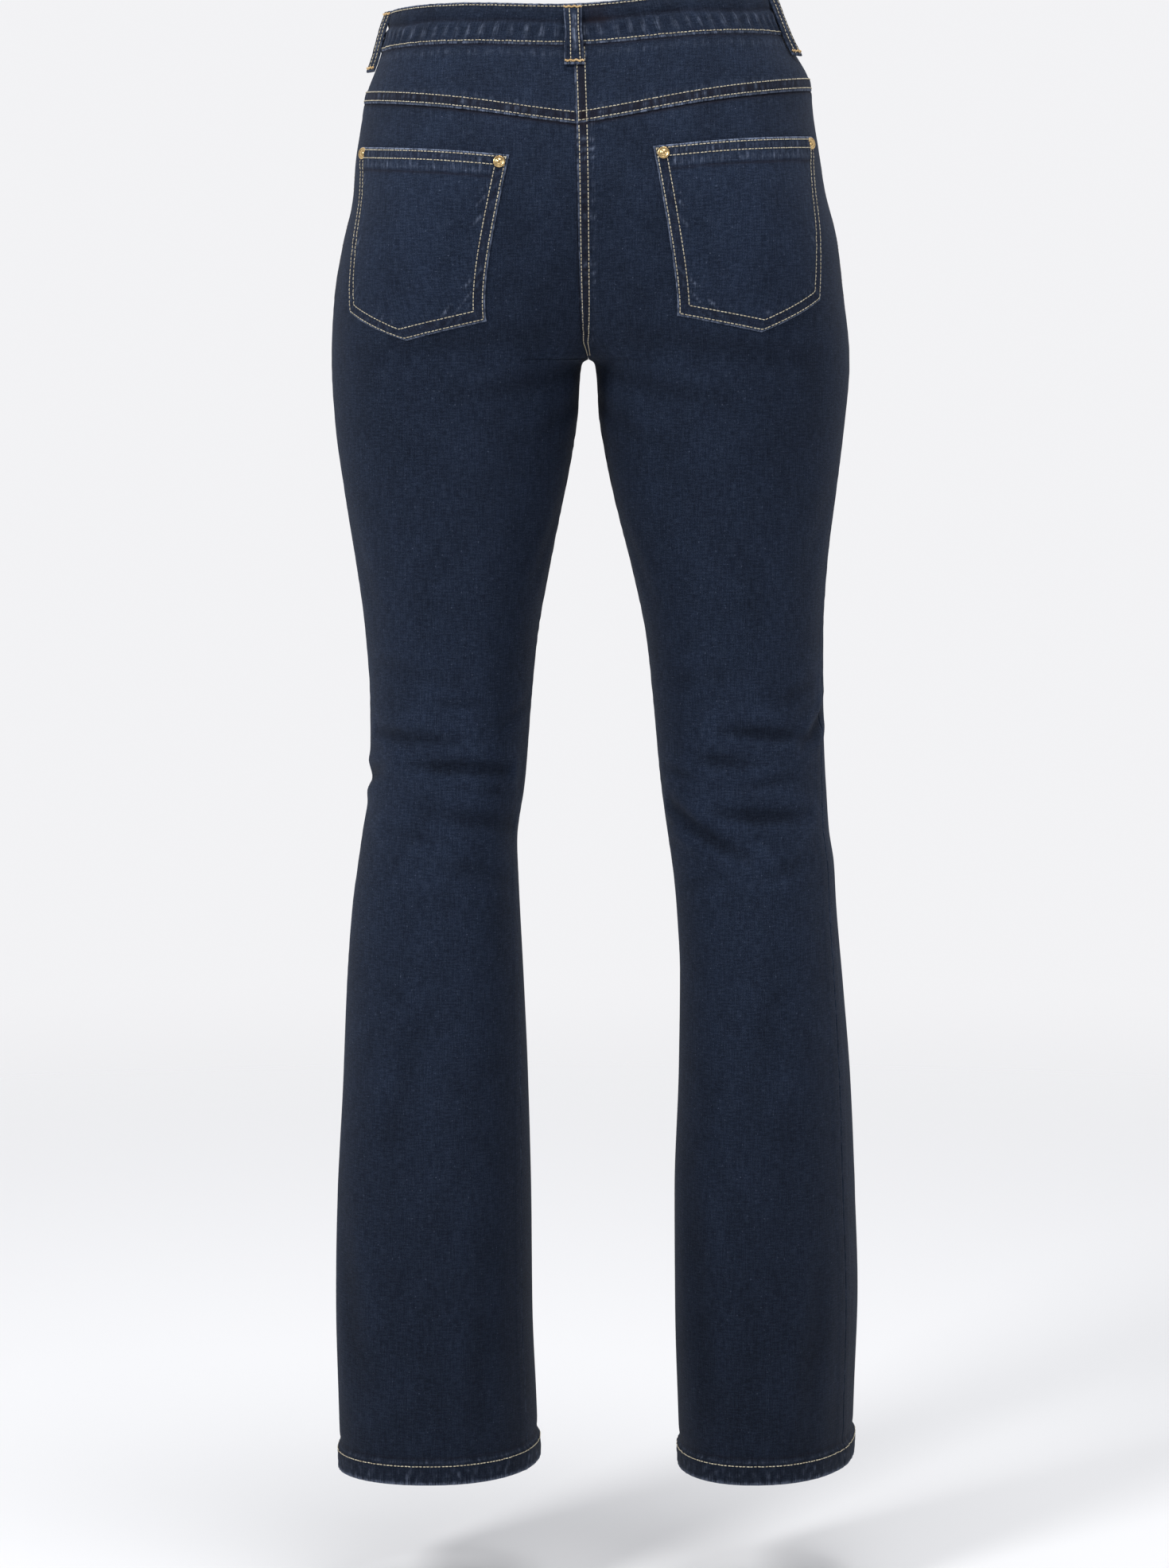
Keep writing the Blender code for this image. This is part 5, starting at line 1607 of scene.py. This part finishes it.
def thread_look(name, color, shade):
    """Twisted sewing thread, shaded in places."""
    n = Nodes(name, color, 0.62)
    spread = object_noise(n, 260.0, 1.0)
    twist = object_noise(n, 2600.0, 1.0)
    mixed = n.mix(n.ramp(spread, 0.3, 0.68), (*shade, 1), (*color, 1))
    mixed = n.mix(n.math("MULTIPLY", n.ramp(twist, 0.62, 0.38), 0.45), mixed, (*[c * 0.55 for c in shade], 1))
    n.link(mixed, n.shader.inputs["Base Color"])
    n.shader.inputs["Specular IOR Level"].default_value = 0.3
    n.roughen(twist, 0.4, 0.0002)
    return n.material


def brass_look(name):
    """Polished brass with some tarnish and fine scratches."""
    n = Nodes(name, (0.80, 0.56, 0.25), 0.24, 1.0)
    tarnish = object_noise(n, 900.0, 3.0)
    scratch = object_noise(n, 4200.0, 2.0)
    color = n.mix(n.ramp(tarnish, 0.42, 0.72), (0.84, 0.60, 0.28, 1), (0.52, 0.32, 0.13, 1))
    n.link(color, n.shader.inputs["Base Color"])
    n.link(n.math("MULTIPLY_ADD", n.ramp(scratch, 0.4, 0.7), 0.16, 0.20), n.shader.inputs["Roughness"])
    n.roughen(scratch, 0.15, 0.0001)
    return n.material


FLOOR_DROP = 1.140
FLOOR_REACH = 9.0
FLOOR_FADE = 3.4


def floor():
    """A wide pale disc that fades into the backdrop far from the garment."""
    rings, sides = 12, 96
    points, faces = [(0.0, 0.0, -FLOOR_DROP)], []
    for ring in range(1, rings + 1):
        radius = FLOOR_REACH * (ring / rings) ** 1.5
        for k in range(sides):
            turn = 2 * math.pi * k / sides
            points.append((radius * math.cos(turn), radius * math.sin(turn), -FLOOR_DROP))
    for k in range(sides):
        n = (k + 1) % sides
        faces.append((0, 1 + k, 1 + n))
        for ring in range(rings - 1):
            a, b = 1 + ring * sides, 1 + (ring + 1) * sides
            faces.append((a + k, b + k, b + n, a + n))
    mesh = bpy.data.meshes.new("studio_floor")
    mesh.from_pydata(points, [], faces)
    n = Nodes("studio_floor", (0.85, 0.85, 0.855), 0.9)
    n.shader.inputs["Specular IOR Level"].default_value = 0.0
    place = n.add("ShaderNodeTexCoord").outputs["Object"]
    flat = n.add("ShaderNodeVectorMath", operation="MULTIPLY")
    n.link(place, flat.inputs[0])
    flat.inputs[1].default_value = (1.0, 1.0, 0.0)
    away = n.add("ShaderNodeVectorMath", operation="LENGTH")
    n.link(flat.outputs[0], away.inputs[0])
    n.link(n.ramp(away.outputs["Value"], FLOOR_FADE, 1.0), n.shader.inputs["Alpha"])
    mesh.materials.append(n.material)
    piece = bpy.data.objects.new("studio_floor", mesh)
    bpy.context.collection.objects.link(piece)


LIGHTS = (
    # name, place, aim, size, power
    ("key", (2.0, 2.5, 1.7), (0.0, 0.0, -0.5), 0.9, 66.0),
    ("fill", (-2.6, 2.4, 0.3), (0.0, 0.0, -0.5), 1.8, 11.5),
    ("top", (-0.3, 0.7, 2.5), (0.0, 0.0, -0.9), 1.4, 40.0),
    ("rear", (0.0, -2.2, 2.6), (0.0, -0.9, -1.14), 2.5, 30.0),
)


def area_light(name, place, aim, size, power):
    """A soft round light pointed at a place."""
    data = bpy.data.lights.new(name, "AREA")
    data.shape, data.size, data.energy = "DISK", size, power
    lamp = bpy.data.objects.new(name, data)
    lamp.location = place
    lamp.rotation_euler = (Vector(aim) - Vector(place)).to_track_quat("-Z", "Y").to_euler()
    bpy.context.collection.objects.link(lamp)


BACKDROP = (0.892, 0.892, 0.910, 1.0)
ROOM = (0.34, 0.35, 0.38, 1.0)
CAMERA_PLACE = (0.0029, 3.3, -0.252)
CAMERA_TILT = 5.1
CAMERA_LENS = 104.46


def studio():
    """A pale backdrop behind the garment, a greyer room before it, soft lights and the camera."""
    world = bpy.data.worlds.new("studio")
    bpy.context.scene.world = world
    world.use_nodes = True
    tree = world.node_tree
    place = tree.nodes.new("ShaderNodeTexCoord")
    split = tree.nodes.new("ShaderNodeSeparateXYZ")
    around = tree.nodes.new("ShaderNodeMapRange")
    blend = tree.nodes.new("ShaderNodeMix")
    blend.data_type = "RGBA"
    around.inputs[1].default_value = 0.15
    around.inputs[2].default_value = -0.60
    blend.inputs[6].default_value = ROOM
    blend.inputs[7].default_value = BACKDROP
    tree.links.new(place.outputs["Generated"], split.inputs[0])
    tree.links.new(split.outputs[1], around.inputs[0])
    tree.links.new(around.outputs[0], blend.inputs[0])
    tree.links.new(blend.outputs[2], tree.nodes["Background"].inputs["Color"])
    tree.nodes["Background"].inputs["Strength"].default_value = 1.0
    for light in LIGHTS:
        area_light(*light)
    bpy.context.scene.view_settings.view_transform = "Standard"
    bpy.context.scene.view_settings.look = "None"
    data = bpy.data.cameras.new("camera")
    data.sensor_width, data.lens, data.sensor_fit = 36.0, CAMERA_LENS, "AUTO"
    camera = bpy.data.objects.new("camera", data)
    camera.location = CAMERA_PLACE
    tilt = math.radians(CAMERA_TILT)
    ahead = Vector((0.0, -math.cos(tilt), -math.sin(tilt)))
    camera.rotation_euler = ahead.to_track_quat("-Z", "Y").to_euler()
    bpy.context.collection.objects.link(camera)
    bpy.context.scene.camera = camera


LOOPS = (
    # name, node, side, face, share across, turn toward the back in degrees
    ("loop_back", "belt_loop_back", 1, "back", 0.0, 0.0),
    ("loop_side_left", "belt_loop_side_left", 1, "back", 0.95, 20.0),
    ("loop_side_right", "belt_loop_side_right", -1, "back", 0.84, -14.0),
    ("loop_front_left", "belt_loop_front_left", 1, "front", 0.45, 0.0),
    ("loop_front_right", "belt_loop_front_right", -1, "front", 0.45, 0.0),
)


def sew_rows(skin, cloths, threads):
    """The rows of stitches on one side's hems, yoke, centre back and front pocket mouth."""
    back, yoke, front = cloths
    for cloth in (back, front):
        run = np.linspace(1.0, float(skin.width(cloth.face, 14.0)) - 1.0, 300)
        cloth.row(threads["hems"], run, np.full(300, HEM_ROW))
    share = np.linspace(0.004, 0.994, 400)
    for above in FELL_ROWS:
        height = yoke_line(share) + PLY_GAP + above
        yoke.row(threads["yoke"], skin.read(skin.across["back"], share, height), height)
    if skin.side < 0:
        for distance in CENTRE_ROWS:
            height = np.linspace(FORK_HEIGHT + 3, CENTRE_ROWS_TOP, 240)
            back.row(threads["centre_back"], np.full(240, distance), height)
            height = np.linspace(YOKE_CENTRE + 1, BAND_BOTTOM - 2, 80)
            yoke.row(threads["centre_back"], np.full(80, distance), height)
    height = np.linspace(BAND_BOTTOM - MOUTH_DEPTH - 6, MOUTH_LOW, 160)
    front.row(threads["fronts"], np.full(160, SIDE_ROW), height)
    turn = np.linspace(0.012, math.pi / 2 - 0.03, 200)
    for gap in MOUTH_ROWS:
        run = (MOUTH_WIDTH + gap) * np.cos(turn)
        height = BAND_BOTTOM - SEAM_GAP - (MOUTH_DEPTH + gap) * np.sin(turn)
        front.row(threads["fronts"], run, height)


def set_rivets(name, back, corners, brass):
    """A rivet in each upper corner of a back pocket. The outer one leans toward the back."""
    out = np.array([SEAM_GAP + POCKET_CLOTH + 0.35])
    for where, (run, height), toward, lean in (("inner", corners[0], RIVET_IN, 0.0),
                                               ("outer", corners[1], -RIVET_IN, RIVET_LEAN)):
        place, normal = back.at(np.array([run + toward]), np.array([height - RIVET_DOWN]), out)
        node = "rivet_" + name + "_" + where
        fitting("brass_" + node, node, RIVET_PROFILE, place[0], normal[0] + (0.0, lean, 0.0), brass, 40)


def set_button(left, brass):
    """The waist button, on the waistband's lapped end."""
    share = 1 - BUTTON_IN / left.width("front", HELD_HEIGHT)
    place = left.point("front", share, HELD_HEIGHT, np.array(BAND_OUT + LAP_RAISE + SEAM_GAP))
    normal = left.normal("front", share, HELD_HEIGHT)
    fitting("brass_button", "waist_button", BUTTON_PROFILE, place, normal, brass, 64)


def main():
    """Dress every solid, add the fittings and the sewing, and set up the studio."""
    outer, pocket_outer = denim("denim_indigo", 1.0), denim("denim_indigo_pocket", 1.12)
    inside = denim_inside("denim_wrong_side")
    looks, pocket_looks = (outer, inside), (pocket_outer, inside)
    cream = thread_look("thread_cream", (0.80, 0.73, 0.55), (0.52, 0.45, 0.32))
    gold = thread_look("thread_gold", (0.86, 0.60, 0.30), (0.64, 0.42, 0.18))
    brass = brass_look("polished_brass")
    heights = skin_heights()
    skins = {side: Skin(side, heights) for side in (1, -1)}
    threads = {place: Thread("stitches_" + place, cream)
               for place in ("yoke", "centre_back", "pockets", "waistband", "loops", "hems", "fronts")}
    tacks = Thread("bar_tacks", gold, 0.42)
    for side, skin in skins.items():
        name, corners = SIDE_NAMES[side], POCKET_CORNERS[side]
        back, yoke, front = build_back(skin, looks), build_yoke(skin, looks), build_front(skin, looks)
        build_bearer(skin, looks)
        sew_rows(skin, (back, yoke, front), threads)
        build_pocket(name, back, corners, pocket_looks, threads["pockets"])
        set_rivets(name, back, corners, brass)
        if side > 0:
            build_placket(front, looks, threads["fronts"])
    build_waistband(skins, looks, threads["waistband"])
    for name, node, side, face, share, turn in LOOPS:
        build_loop("denim_" + name, node, skins[side], face, share, turn, looks, threads["loops"], tacks)
    set_button(skins[1], brass)
    for thread in (*threads.values(), tacks):
        thread.finish()
    floor()
    studio()


main()
